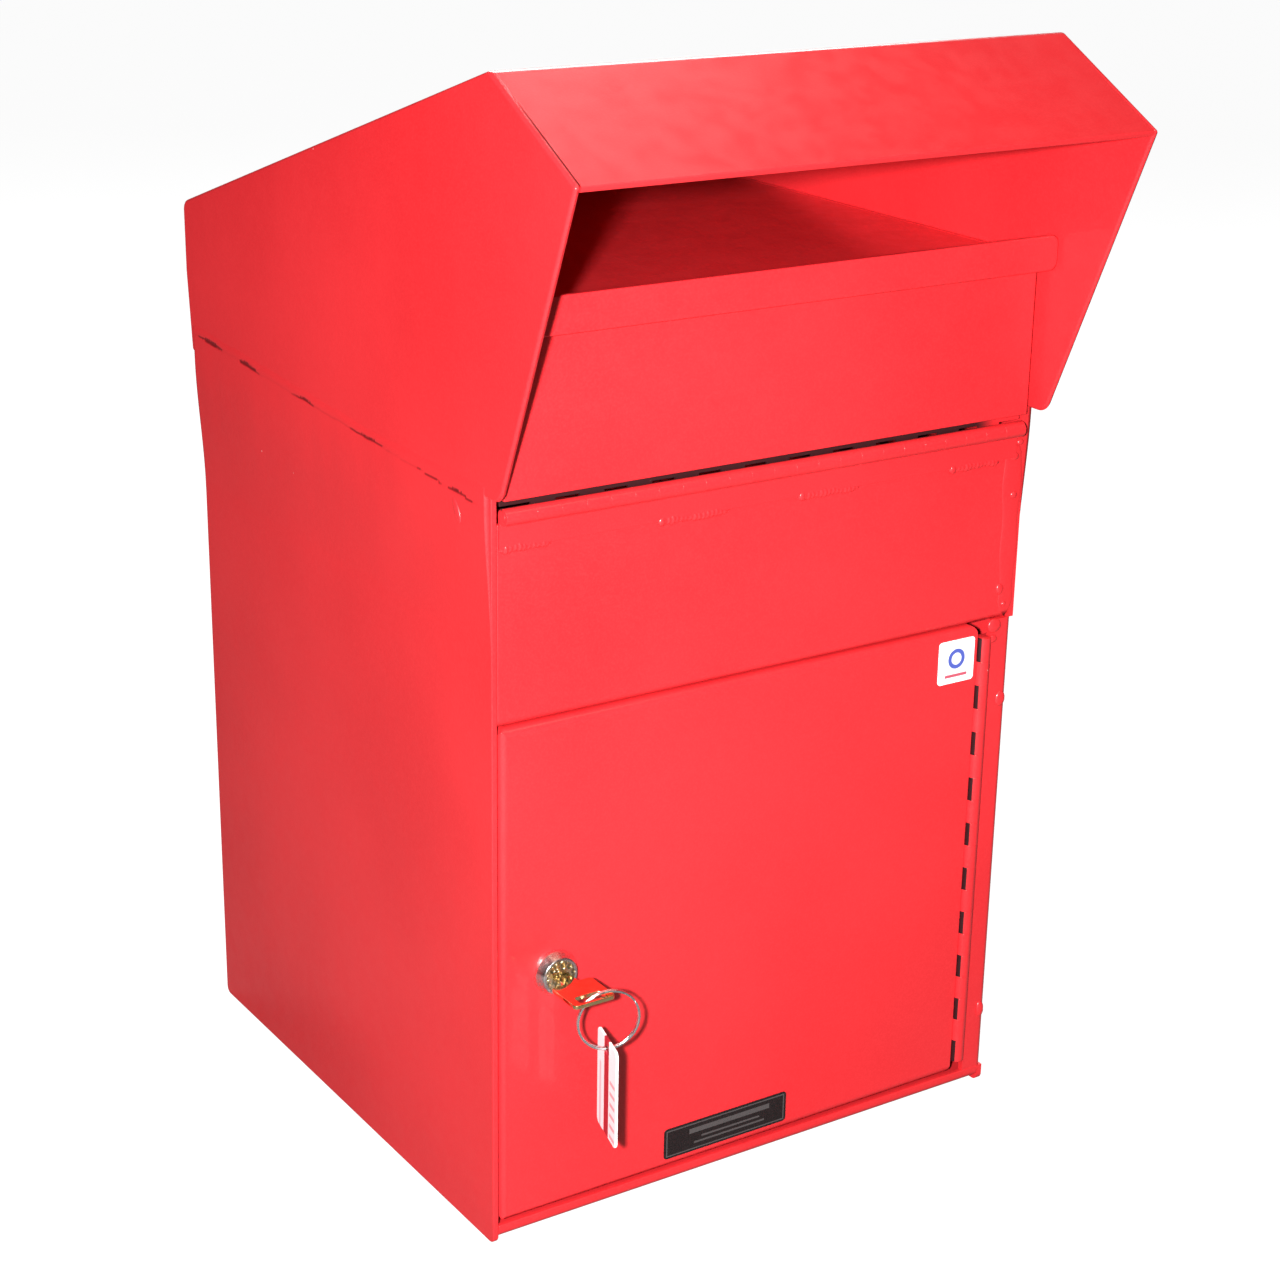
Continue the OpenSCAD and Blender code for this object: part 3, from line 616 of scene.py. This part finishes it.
def weld_bead(name, start, end, side, rise, width, height, pitch, seed):
    """A weld bead along a straight joint.

    At distance s along the joint its section is an ellipse of half width w and half height h, and
    both shrink to nothing at the ends as the square root of the distance from them. The ripples
    are a cosine of s, carried forward at the bead's middle so that they lie as scales.
    """
    start, end = np.array(start, float), np.array(end, float)
    length = np.linalg.norm(end - start)
    rows = max(24, int(length / pitch * 8))
    s = np.linspace(0, 1, rows)[:, None] * length
    angle = np.linspace(0, 2 * np.pi, 20, endpoint=False)[None]
    taper = np.sqrt(np.clip(np.minimum(s, length - s) / (1.6 * width), 0, 1))
    lag = 0.45 * pitch * np.sin(angle) ** 2
    ripple = 1 + 0.10 * np.cos(2 * np.pi * (s - lag) / pitch)
    swell = 1 + wander(s[:, 0], seed, 9 * pitch, 0.22)[:, None]
    drift = wander(s[:, 0], seed + 50, 14 * pitch, 0.25 * width)[:, None]
    w = width * taper * swell * ripple
    h = height * taper * swell * ripple
    along = (end - start) / length
    points = (start + s[..., None] * along + (drift + w * np.cos(angle))[..., None] * np.array(side)
              + (h * np.sin(angle))[..., None] * np.array(rise))
    return outward(new_piece(name, points, face_grid(rows, 20, wrap_columns=True)))


def dome(name, centre, side, along, rise, half_side, half_along, height, seed):
    """A lump of weld: an ellipsoid, a little lopsided, with its lower half sunk in the sheet."""
    turn = np.linspace(0, 2 * np.pi, 32, endpoint=False)[None]
    lift = np.linspace(-0.5 * np.pi, 0.5 * np.pi, 17)[:, None]
    lump = 1 + wander(turn[0] * 0.01, seed, 0.0628, 0.12)[None]
    a = half_side * np.cos(lift) * np.cos(turn) * lump
    b = half_along * np.cos(lift) * np.sin(turn) * lump
    c = height * np.sin(lift) * np.ones_like(turn)
    points = (np.array(centre, float) + a[..., None] * np.array(side) + b[..., None] * np.array(along)
              + c[..., None] * np.array(rise))
    return outward(new_piece(name, points, face_grid(17, 32, wrap_columns=True)))


def shell_between(name, outer, inner, crack):
    """A closed shell from two grids of points of the same size, joined round their rims.

    crack holds a value for each point of the outer grid, kept as the piece's crack attribute.
    """
    rows, columns = outer.shape[:2]
    front = face_grid(rows, columns)
    size = rows * columns
    index = np.arange(size).reshape(rows, columns)
    rim = np.concatenate([index[0], index[1:, -1], index[-1, -2::-1], index[-2:0:-1, 0]])
    following = np.roll(rim, -1)
    walls = np.stack([rim, following, following + size, rim + size], 1)
    faces = np.concatenate([front, front[:, ::-1] + size, walls])
    piece = new_piece(name, np.concatenate([outer.reshape(-1, 3), inner.reshape(-1, 3)]), faces)
    layer = piece.data.attributes.new("crack", "FLOAT", "POINT")
    layer.data.foreach_set("value", np.concatenate([crack.ravel(), 0 * crack.ravel()]).astype(np.float32))
    return outward(piece)


def turned(name, profile, centre, steps=96):
    """A lathe shape about the lock's axis: a closed profile of (radius, distance towards -Y)."""
    profile = np.array(profile, float)
    angle = np.linspace(0, 2 * np.pi, steps, endpoint=False)[:, None]
    radius, out = profile[None, :, 0], profile[None, :, 1]
    x = centre[0] + radius * np.cos(angle)
    y = centre[1] - out * np.ones_like(angle)
    z = centre[2] + radius * np.sin(angle)
    points = np.stack([x, y, z], -1)
    faces = face_grid(steps, len(profile), wrap_rows=True, wrap_columns=True)
    return outward(new_piece(name, points, faces))


def rounded_profile(corners, steps=6):
    """A closed outline from (x, y, radius) corners, each rounded by a quadratic blend.

    Round a corner b between a and c the curve is the Bezier of b's two neighbours at the given
    distance along each side, with b as its middle handle.
    """
    outline = []
    count = len(corners)
    share = np.linspace(0, 1, steps + 1)[:, None]
    for i, (x, y, radius) in enumerate(corners):
        b = np.array([x, y])
        if radius == 0:
            outline.append(b[None])
            continue
        before = np.array(corners[i - 1][:2]) - b
        after = np.array(corners[(i + 1) % count][:2]) - b
        first = b + before / np.linalg.norm(before) * radius
        last = b + after / np.linalg.norm(after) * radius
        outline.append((1 - share) ** 2 * first + 2 * share * (1 - share) * b + share ** 2 * last)
    return np.concatenate(outline)


# ---- Pieces ----

PAINTED_SHEETS = (
    "left_side", "right_side", "back_panel", "bottom_panel", "fixed_front_panel", "deposit_shelf",
    "latch_stop", "flap_panel", "pull_lip", "hopper_tray", "left_gusset", "right_gusset",
    "door_panel", "door_stiffener")
FLAP_HINGE = ("flap_hinge_fixed_leaf", "flap_hinge_moving_leaf", "flap_hinge_pin")
DOOR_HINGE = ("door_hinge_fixed_leaf", "door_hinge_moving_leaf", "door_hinge_pin")


class MAILBOX_OT_sheets(bpy.types.Operator):
    """Softens the edges of the body's, flap's and door's sheets and paints them"""

    bl_idname = "mailbox.sheets"
    bl_label = "Sheets"

    def execute(self, context):
        coat = finish_named(powder_coat)
        for node in PAINTED_SHEETS:
            softened(node, context.scene.mailbox_edges.sheet, coat)
        return {"FINISHED"}


class MAILBOX_OT_hood(bpy.types.Operator):
    """Softens the hood, whose roof and sides meet flush at ground welds"""

    bl_idname = "mailbox.hood"
    bl_label = "Hood"

    def execute(self, context):
        coat = finish_named(powder_coat)
        edge = context.scene.mailbox_edges
        low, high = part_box("hood_roof")
        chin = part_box("hood_left_side")[0]
        chin_ahead = 12 * MM
        mouth_height = fascia_edge_height()

        def on_seam(middles):
            """Edges at the roof's ends, apart from the cheeks' bare front edges and lower edges."""
            at_end = np.abs(np.abs(middles[:, 0]) - high.x) < 1e-5
            rake = (middles[:, 2] - chin.z) / (mouth_height - chin.z)
            front_line = -chin_ahead + (low.y + chin_ahead) * rake
            bare = (middles[:, 2] < mouth_height - 1e-4) & (middles[:, 1] < front_line + 0.1)
            lower = middles[:, 2] < chin.z + 1e-4
            return at_end & ~bare & ~lower

        softened("hood_left_side", edge.ground, coat, on_seam, 4)
        softened("hood_right_side", edge.ground, coat, on_seam, 4)
        softened("hood_roof", edge.sheet, coat, lambda m: np.abs(np.abs(m[:, 0]) - high.x) < 1e-5)
        return {"FINISHED"}


def fascia_edge_height():
    """Height of the fascia's lower edge: the lowest point of the roof sheet's foremost centimetre."""
    points = mesh_points(frame["nodes"]["hood_roof"].data)
    front = points[points[:, 1] < points[:, 1].min() + 0.01]
    return float(front[:, 2].min())


class MAILBOX_OT_hinges(bpy.types.Operator):
    """Softens the hinges' knuckles and pins and paints them, with painted shade above the flap hinge's axis and on
    the door hinge's left flank
    """

    bl_idname = "mailbox.hinges"
    bl_label = "Hinges"

    def execute(self, context):
        edge = context.scene.mailbox_edges
        low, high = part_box("flap_hinge_pin")
        # The flap hinge's coat paints shade in the recess above and behind its axis.
        narrow_dark_band = finish_named(powder_coat, "above", (0, 0.5 * (low.y + high.y), 0.5 * (low.z + high.z)))
        for node in FLAP_HINGE:
            softened(node, edge.knuckle, narrow_dark_band, steps=2, reshape=lambda p: closed_knuckles(p, 0))
        low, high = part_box("door_hinge_pin")
        # bare here is the coat that paints shade on the door hinge's left flank.
        bare = finish_named(powder_coat, "beside", (0.5 * (low.x + high.x), 0.5 * (low.y + high.y), 0))
        for node, coat in zip(DOOR_HINGE, (bare, finish_named(powder_coat), finish_named(powder_coat))):
            softened(node, edge.knuckle, coat, steps=2, reshape=lambda p: closed_knuckles(p, 2))
        return {"FINISHED"}


def closed_knuckles(points, way):
    """Brings a hinge's painted knuckles close together, way being the axis that it runs along.

    Knuckles meet at every pitch. A point less than reach from such a place goes to left from it,
    and the flap hinge's left end moves out by stretch, nearer to the body's side.
    """
    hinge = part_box("flap_hinge_fixed_leaf" if way == 0 else "door_hinge_fixed_leaf")
    pitch, reach, left, stretch = 12.7 * MM, 0.22 * MM, 0.03 * MM, 3.0 * MM
    at = points[:, way]
    joint = hinge[0][way] + np.round((at - hinge[0][way]) / pitch) * pitch
    inside = (at > hinge[0][way] + reach) & (at < hinge[1][way] - reach)
    near = (np.abs(at - joint) < reach) & inside
    moved = np.where(near, joint + left * np.sign(at - joint), at)
    points[:, way] = np.where((at < hinge[0][way] + reach) & (way == 0), at - stretch, moved)
    return points


class MAILBOX_OT_welds(bpy.types.Operator):
    """Lays the painted weld beads along the hinges, the jamb and the panel's end"""

    bl_idname = "mailbox.welds"
    bl_label = "Welds"

    def execute(self, context):
        weld = context.scene.mailbox_welds
        coat = finish_named(powder_coat)
        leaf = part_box("flap_hinge_fixed_leaf")
        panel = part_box("fixed_front_panel")
        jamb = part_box("right_side")
        face = panel[0].y
        right, up, out = (1, 0, 0), (0, 0, 1), (0, -1, 0)
        y = face - 0.4 * MM
        below = leaf[0].z - 0.3 * MM
        for i, (x0, x1) in enumerate(((-149, -122), (-66, -26), (13, 49), (104, 136))):
            piece = weld_bead(f"flap_hinge_weld_{i + 1}", (x0 * MM, y, below), (x1 * MM, y, below),
                              up, out, weld.width, weld.height, weld.pitch, 3 + i)
            place_piece(piece, coat)
        for i, x in enumerate((-64, 15, 106)):
            piece = dome(f"flap_hinge_weld_stop_{i + 1}", (x * MM, y, below), right, up, out,
                         2.2 * MM, 2.6 * MM, 1.7 * MM, 20 + i)
            place_piece(piece, coat)
        end = (panel[1].x - 3.5 * MM, face + 0.1 * MM)
        piece = weld_bead("panel_end_weld", (end[0], end[1], panel[0].z + 1 * MM),
                          (end[0], end[1], panel[1].z - 1 * MM), right, out,
                          5.0 * MM, 0.5 * MM, 34 * MM, 31)
        place_piece(piece, coat)
        for i, (x, z, w, h) in enumerate(((147.5, 223, 3.2, 4.2), (148, 44, 2.6, 4.6), (140.5, 264, 4.4, 3.6),
                                          (147, 332, 2.2, 1.9), (142, 283, 2.4, 3.0), (146, 352, 3.0, 2.2),
                                          (143, 357, 2.4, 1.9), (148, 366, 3.4, 2.4), (149, 359, 2.2, 1.6),
                                          (139.5, 257, 3.0, 2.2), (145, 275, 1.6, 1.4))):
            piece = dome(f"jamb_weld_{i + 1}", (x * MM, jamb[0].y, z * MM), right, up, out,
                         w * MM, h * MM, 1.5 * MM, 40 + i)
            place_piece(piece, coat)
        return {"FINISHED"}


class MAILBOX_OT_filler(bpy.types.Operator):
    """Feathers filler from the hood's lower edge on to the body, with its cracks"""

    bl_idname = "mailbox.filler"
    bl_label = "Filler"

    def execute(self, context):
        # This coat paints shade inside the filler's cracks, by their crack attribute.
        coat = finish_named(powder_coat, "cracks")
        place_piece(filler(-1, 5, "left_side"), coat)
        place_piece(filler(1, 7, "right_side"), coat)
        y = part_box("left_side")[0].y + 25 * MM
        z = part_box("hood_left_side")[0].z - 12 * MM
        x = -filler_face(z, z + 20 * MM, "left_side") + 0.1 * MM
        run = dome("filler_run", (x, y, z), (0, 0.5, 0.866), (0, 0.866, -0.5), (-1, 0, 0),
                   6.2 * MM, 2.4 * MM, 0.8 * MM, 71)
        place_piece(run, coat)
        return {"FINISHED"}


CRACKS = ((0.0, 0.125, 2.6, 0.6), (0.185, 0.27, 2.8, 0.25), (0.35, 0.465, 1.4, 0.7),
          (0.575, 0.70, 1.9, 0.55), (0.79, 0.888, 1.3, 0.6), (0.893, 0.975, 2.3, 0.3))


def filler_face(z, top, node):
    """Distance from the box's middle plane to the filler's face at height z.

    It is the body's sheet plus the hood's step, which falls away as a smooth step over the
    feather's height, plus a thin film that fades to nothing at the filler's upper edge.
    """
    feather = bpy.context.scene.mailbox_welds.feather
    body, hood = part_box(node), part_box("hood_" + node)
    inner = max(abs(body[0].x), abs(body[1].x))
    step = max(abs(hood[0].x), abs(hood[1].x)) - inner
    share = 1 - smooth_step((hood[0].z - 2 * MM - z) / feather)
    film = 0.26 * MM * smooth_step((top - z) / (5 * MM)) - 0.04 * MM
    return inner + step * share + film * share - 0.03 * MM * (1 - share)


def filler(side, seed, node):
    """The filler on one side of the body.

    Its line runs from a little under the hood's lower edge at the front to a little over it at
    the back. Along it lie the cracks, each given by its start and end as shares of the length
    from the back, its greatest width in millimetres and where along it that width lies. A
    crack's half width is a half sine, skewed to that place, times a ragged factor.
    """
    weld = bpy.context.scene.mailbox_welds
    low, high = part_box(node)
    hood_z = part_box("hood_" + node)[0].z
    rows, columns = 840, 56
    y = np.linspace(low.y + 0.5 * MM, high.y - 0.3 * MM, rows)[:, None]
    share = (high.y - y) / (high.y - low.y)
    line = hood_z + weld.line_back * (1 - share) + weld.line_front * share
    line = line + wander(y[:, 0], 9 + seed, 0.04, 0.5 * MM)[:, None]
    top = np.maximum(line, hood_z) + 6 * MM
    across = np.linspace(0, 1, columns)[None]
    z = top + (hood_z - 2 * MM - weld.feather - top) * across ** 1.9
    # crack sinks the filler a little and, read by the coat, paints shade: a faint dark line all along the filler's
    # line, darker in the cracks.
    crack = 0.22 * np.exp(-((z - line) / (0.35 * MM)) ** 2)
    fine = np.abs(wander(y[:, 0], 21 + seed, 0.008, 0.5)) + np.abs(wander(y[:, 0], 33 + seed, 0.003, 0.4))
    for start, end, width, peak in CRACKS:
        part = np.clip((share - start) / (end - start), 0, 1)
        skewed = part ** (math.log(0.5) / math.log(peak))
        half = 0.5 * width * MM * np.sin(np.pi * skewed) * (0.55 + fine[:, None])
        middle = line + 0.4 * (half - 0.5 * width * MM * 0.4)
        edge = 1 - smooth_step((np.abs(z - middle) - half) / (0.25 * MM) + 0.5)
        crack = np.maximum(crack, edge * np.clip(half / (0.15 * MM), 0, 1))
    wave = wander(y[:, 0], 5 + seed, 0.09, 0.10 * MM)[:, None] * np.sin(np.pi * across) ** 2
    out = filler_face(z, top, node) + wave - crack * weld.crack
    outer = np.stack([side * out, y + 0 * z, z], -1)
    body = max(abs(low.x), abs(high.x))
    inner = np.stack([0 * z + side * (body - 1.0 * MM), y + 0 * z, z], -1)
    return shell_between(node + "_filler", outer, inner, crack)


class MAILBOX_OT_lock(bpy.types.Operator):
    """Turns the cam lock's flange and barrel, and softens its plug, nut, cam, washer and screw"""

    bl_idname = "mailbox.lock"
    bl_label = "Lock"

    def execute(self, context):
        edge = context.scene.mailbox_edges.small
        low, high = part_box("lock_housing")
        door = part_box("door_panel")[0].y
        axis = (0.5 * (low.x + high.x), door, 0.5 * (low.z + high.z))
        flange = 0.5 * (high.x - low.x)
        face = 7.75 * MM
        barrel, proud, depth = 9.5 * MM, door - low.y, door - high.y
        profile = rounded_profile([
            (face, proud, 0.25 * MM), (flange - 2.2 * MM, proud, 0.5 * MM),
            (flange, 1.5 * MM, 0.5 * MM), (flange, 0, 0.2 * MM), (barrel, 0, 0), (barrel, depth, 0.4 * MM),
            (6.55 * MM, depth, 0), (6.55 * MM, 3.7 * MM, 0), (face, 3.7 * MM, 0)])
        steel = finish_named(lock_flange_steel, axis)
        place_piece(turned("cam_lock_body", profile, axis), steel, "door", "lock_steel", "lock_housing")
        softened("lock_plug", 0.2 * MM, finish_named(plug_brass))
        grey = finish_named(plain_steel, "plated_steel", (0.66, 0.66, 0.68), 0.32, 0.004)
        for node in ("lock_nut", "lock_cam", "cam_washer", "cam_screw"):
            softened(node, edge, grey)
        return {"FINISHED"}


class MAILBOX_OT_key(bpy.types.Operator):
    """Softens and polishes the key"""

    bl_idname = "mailbox.key"
    bl_label = "Key"

    def execute(self, context):
        softened("key", context.scene.mailbox_edges.small, finish_named(key_brass))
        return {"FINISHED"}


class MAILBOX_OT_ring(bpy.types.Operator):
    """Winds the split ring"""

    bl_idname = "mailbox.ring"
    bl_label = "Split ring"

    def execute(self, context):
        place_piece(split_ring(), finish_named(ring_nickel), "ring", "ring_steel", "split_ring")
        return {"FINISHED"}


def split_ring():
    """Two turns of wire side by side.

    The wire's centre goes round a circle in the ring's plane, and crosses from the back turn to
    the front turn in one smooth step near the middle of its length. Its section is a rounded
    rectangle (a superellipse of power 4) that closes over the last millimetre at each end.
    """
    settings = bpy.context.scene.mailbox_ring
    low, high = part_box("split_ring")
    outer = 0.5 * (high.z - low.z)
    centre = np.array([0.5 * (low.x + high.x), 0.5 * (low.y + high.y), 0.5 * (low.z + high.z)])
    across = -np.array(JOINTS["ring_swing"]["axis"], float)
    normal = np.cross(across, UP)
    thick = 0.62 * MM
    radius = outer - thick
    turns = settings.turns
    rows, round_wire = 420, 20
    share = np.linspace(0, 1, rows)[:, None]
    angle = 2 * np.pi * turns * share + 0.9
    offset = (smooth_step((share - 0.44) / 0.12) - 0.5) * settings.wire
    section = np.linspace(0, 2 * np.pi, round_wire, endpoint=False)[None]
    square = np.abs(np.cos(section)) ** 4 + np.abs(np.sin(section)) ** 4
    closing = np.minimum(share, 1 - share) * turns * 2 * np.pi * radius / (1.0 * MM)
    size = np.sqrt(np.clip(closing, 0, 1)) * square ** -0.25
    radial = radius + thick * 0.98 * size * np.cos(section)
    sideways = offset + 0.5 * settings.wire * 0.96 * size * np.sin(section)
    points = (centre + (radial * np.cos(angle))[..., None] * across
              + (radial * np.sin(angle))[..., None] * UP + sideways[..., None] * normal)
    return outward(new_piece("split_ring_wire", points, face_grid(rows, round_wire, wrap_columns=True)))


class MAILBOX_OT_tag(bpy.types.Operator):
    """Softens the key tag and gives it its own map"""

    bl_idname = "mailbox.tag"
    bl_label = "Key tag"

    def execute(self, context):
        tag = softened("key_tag", context.scene.mailbox_edges.small, finish_named(tag_card))
        normal = np.array(JOINTS["tag_swing"]["axis"], float)
        map_flat(tag, "tag", np.cross(UP, normal), UP)
        return {"FINISHED"}


def map_flat(piece, name, across, along):
    """A map that runs from 0 to 1 over the piece's size along each of two directions."""
    mesh = piece.data
    points = mesh_points(mesh)
    flat = np.stack([points @ np.array(across, float), points @ np.array(along, float)], 1)
    flat = (flat - flat.min(0)) / (flat.max(0) - flat.min(0))
    corners = np.empty(len(mesh.loops), np.int64)
    mesh.loops.foreach_get("vertex_index", corners)
    layer = mesh.uv_layers.new(name=name)
    layer.data.foreach_set("uv", flat[corners].ravel().astype(np.float32))


class MAILBOX_OT_labels(bpy.types.Operator):
    """Softens the dark plate and the light sticker and gives them their generic print"""

    bl_idname = "mailbox.labels"
    bl_label = "Labels"

    def execute(self, context):
        for node, make in (("makers_plate", dark_label), ("light_sticker", light_label)):
            label = softened(node, 0.12 * MM, finish_named(make), steps=2)
            map_flat(label, "label", (1, 0, 0), UP)
        return {"FINISHED"}


# ---- Stage ----


class MAILBOX_OT_stage(bpy.types.Operator):
    """Makes the floor, the lights, the surroundings and the camera"""

    bl_idname = "mailbox.stage"
    bl_label = "Stage"

    def execute(self, context):
        make_floor()
        make_camera(context.scene)
        make_lights(context.scene)
        context.scene.view_settings.view_transform = "Standard"
        return {"FINISHED"}


def make_floor():
    """A pale floor just under the box."""
    light = bpy.context.scene.mailbox_light
    pale = Finish("pale_floor", **{
        "Base Color": (0.12, 0.12, 0.12, 1), "Roughness": 0.8, "Emission Color": (1, 1, 1, 1)})
    seen = pale.node("ShaderNodeLightPath").outputs["Is Camera Ray"]
    pale.done(Emission_Strength=pale.times(seen, light.glow))
    side = 14.0
    corners = np.array([(-side, -side, 0), (side, -side, 0), (side, side, 0), (-side, side, 0)])
    floor = new_piece("floor", corners + (0, 0, CAD_BOX[0].z - 0.0005), [(0, 1, 2, 3)])
    floor.data.materials.append(pale.material)


def view_axes():
    """The camera's right, up and back directions."""
    view = bpy.context.scene.mailbox_view
    a, e = view.azimuth, view.elevation
    back = Vector((math.sin(a) * math.cos(e), -math.cos(a) * math.cos(e), math.sin(e)))
    right = Vector((0, 0, 1)).cross(back).normalized()
    up = back.cross(right)
    c, s = math.cos(view.roll), math.sin(view.roll)
    return c * right + s * up, c * up - s * right, back


def make_camera(scene):
    """A camera at the view's distance, set off the box's middle by its right and up."""
    view = scene.mailbox_view
    right, up, back = view_axes()
    data = bpy.data.cameras.new("camera")
    data.lens = view.lens
    camera = bpy.data.objects.new("camera", data)
    scene.collection.objects.link(camera)
    middle = (CAD_BOX[0] + CAD_BOX[1]) / 2
    turn = Matrix((right, up, back)).transposed().to_4x4()
    camera.matrix_world = Matrix.Translation(
        middle + view.right * right + view.up * up + view.distance * back) @ turn
    scene.camera = camera


WARM = (1.0, 0.86, 0.66)


def make_lights(scene):
    """A lamp beside the camera, wide panels overhead and behind, and even white surroundings."""
    light = scene.mailbox_light
    right, _, _ = view_axes()
    eye = scene.camera.matrix_world.translation
    middle = (CAD_BOX[0] + CAD_BOX[1]) / 2
    panels = (
        ("key_light", eye - light.key_left * right, light.key, light.key_size),
        ("top_light", middle + Vector((0.2, -0.7, 1.6)), light.top, 1.2),
        ("back_light", middle + Vector((0.9, 1.5, 1.5)), light.behind, 1.2))
    for name, place, power, size in panels:
        data = bpy.data.lights.new(name, "AREA")
        data.energy = power
        data.size = size
        data.color = WARM if name == "top_light" else (1, 1, 1)
        lamp = bpy.data.objects.new(name, data)
        scene.collection.objects.link(lamp)
        turn = (place - middle).to_track_quat("Z", "Y").to_matrix().to_4x4()
        lamp.matrix_world = Matrix.Translation(place) @ turn
    world = bpy.data.worlds.new("studio")
    world.use_nodes = True
    tree = world.node_tree
    seen = tree.nodes.new("ShaderNodeLightPath").outputs["Is Camera Ray"]
    strength = tree.nodes.new("ShaderNodeMapRange")
    strength.inputs["To Min"].default_value = light.sky
    strength.inputs["To Max"].default_value = light.seen
    tree.links.new(seen, strength.inputs["Value"])
    tree.nodes["Background"].inputs["Color"].default_value = (1, 1, 1, 1)
    tree.links.new(strength.outputs[0], tree.nodes["Background"].inputs["Strength"])
    scene.world = world


# ---- Panel and registration ----

SETTINGS = {
    "mailbox_paint": MailboxPaint, "mailbox_edges": MailboxEdges, "mailbox_welds": MailboxWelds,
    "mailbox_ring": MailboxRing, "mailbox_view": MailboxView, "mailbox_light": MailboxLight}
STEPS = (
    MAILBOX_OT_stage, MAILBOX_OT_sheets, MAILBOX_OT_hood, MAILBOX_OT_hinges, MAILBOX_OT_welds,
    MAILBOX_OT_filler, MAILBOX_OT_lock, MAILBOX_OT_key, MAILBOX_OT_ring, MAILBOX_OT_tag,
    MAILBOX_OT_labels)


class MAILBOX_PT_panel(bpy.types.Panel):
    """Settings and steps of the mailbox"""

    bl_label = "Mailbox"
    bl_space_type = "VIEW_3D"
    bl_region_type = "UI"
    bl_category = "Mailbox"

    def draw(self, context):
        for name, group in SETTINGS.items():
            box = self.layout.box()
            box.label(text=group.__name__.replace("Mailbox", ""))
            for key in group.__annotations__:
                box.prop(getattr(context.scene, name), key)
        for step in STEPS:
            self.layout.operator(step.bl_idname)


def register():
    for group in (*SETTINGS.values(), *STEPS, MAILBOX_PT_panel):
        bpy.utils.register_class(group)
    for name, group in SETTINGS.items():
        setattr(bpy.types.Scene, name, PointerProperty(type=group))


def unregister():
    for name in SETTINGS:
        delattr(bpy.types.Scene, name)
    for group in reversed((*SETTINGS.values(), *STEPS, MAILBOX_PT_panel)):
        bpy.utils.unregister_class(group)


def run_step(step):
    """Calls an operator by its name, and stops the script if it doesn't finish."""
    area, name = step.bl_idname.split(".")
    if getattr(getattr(bpy.ops, area), name)() != {"FINISHED"}:
        raise RuntimeError(step.bl_idname + " did not finish")


def main():
    register()
    for step in STEPS:
        run_step(step)


if __name__ == "__main__":
    main()
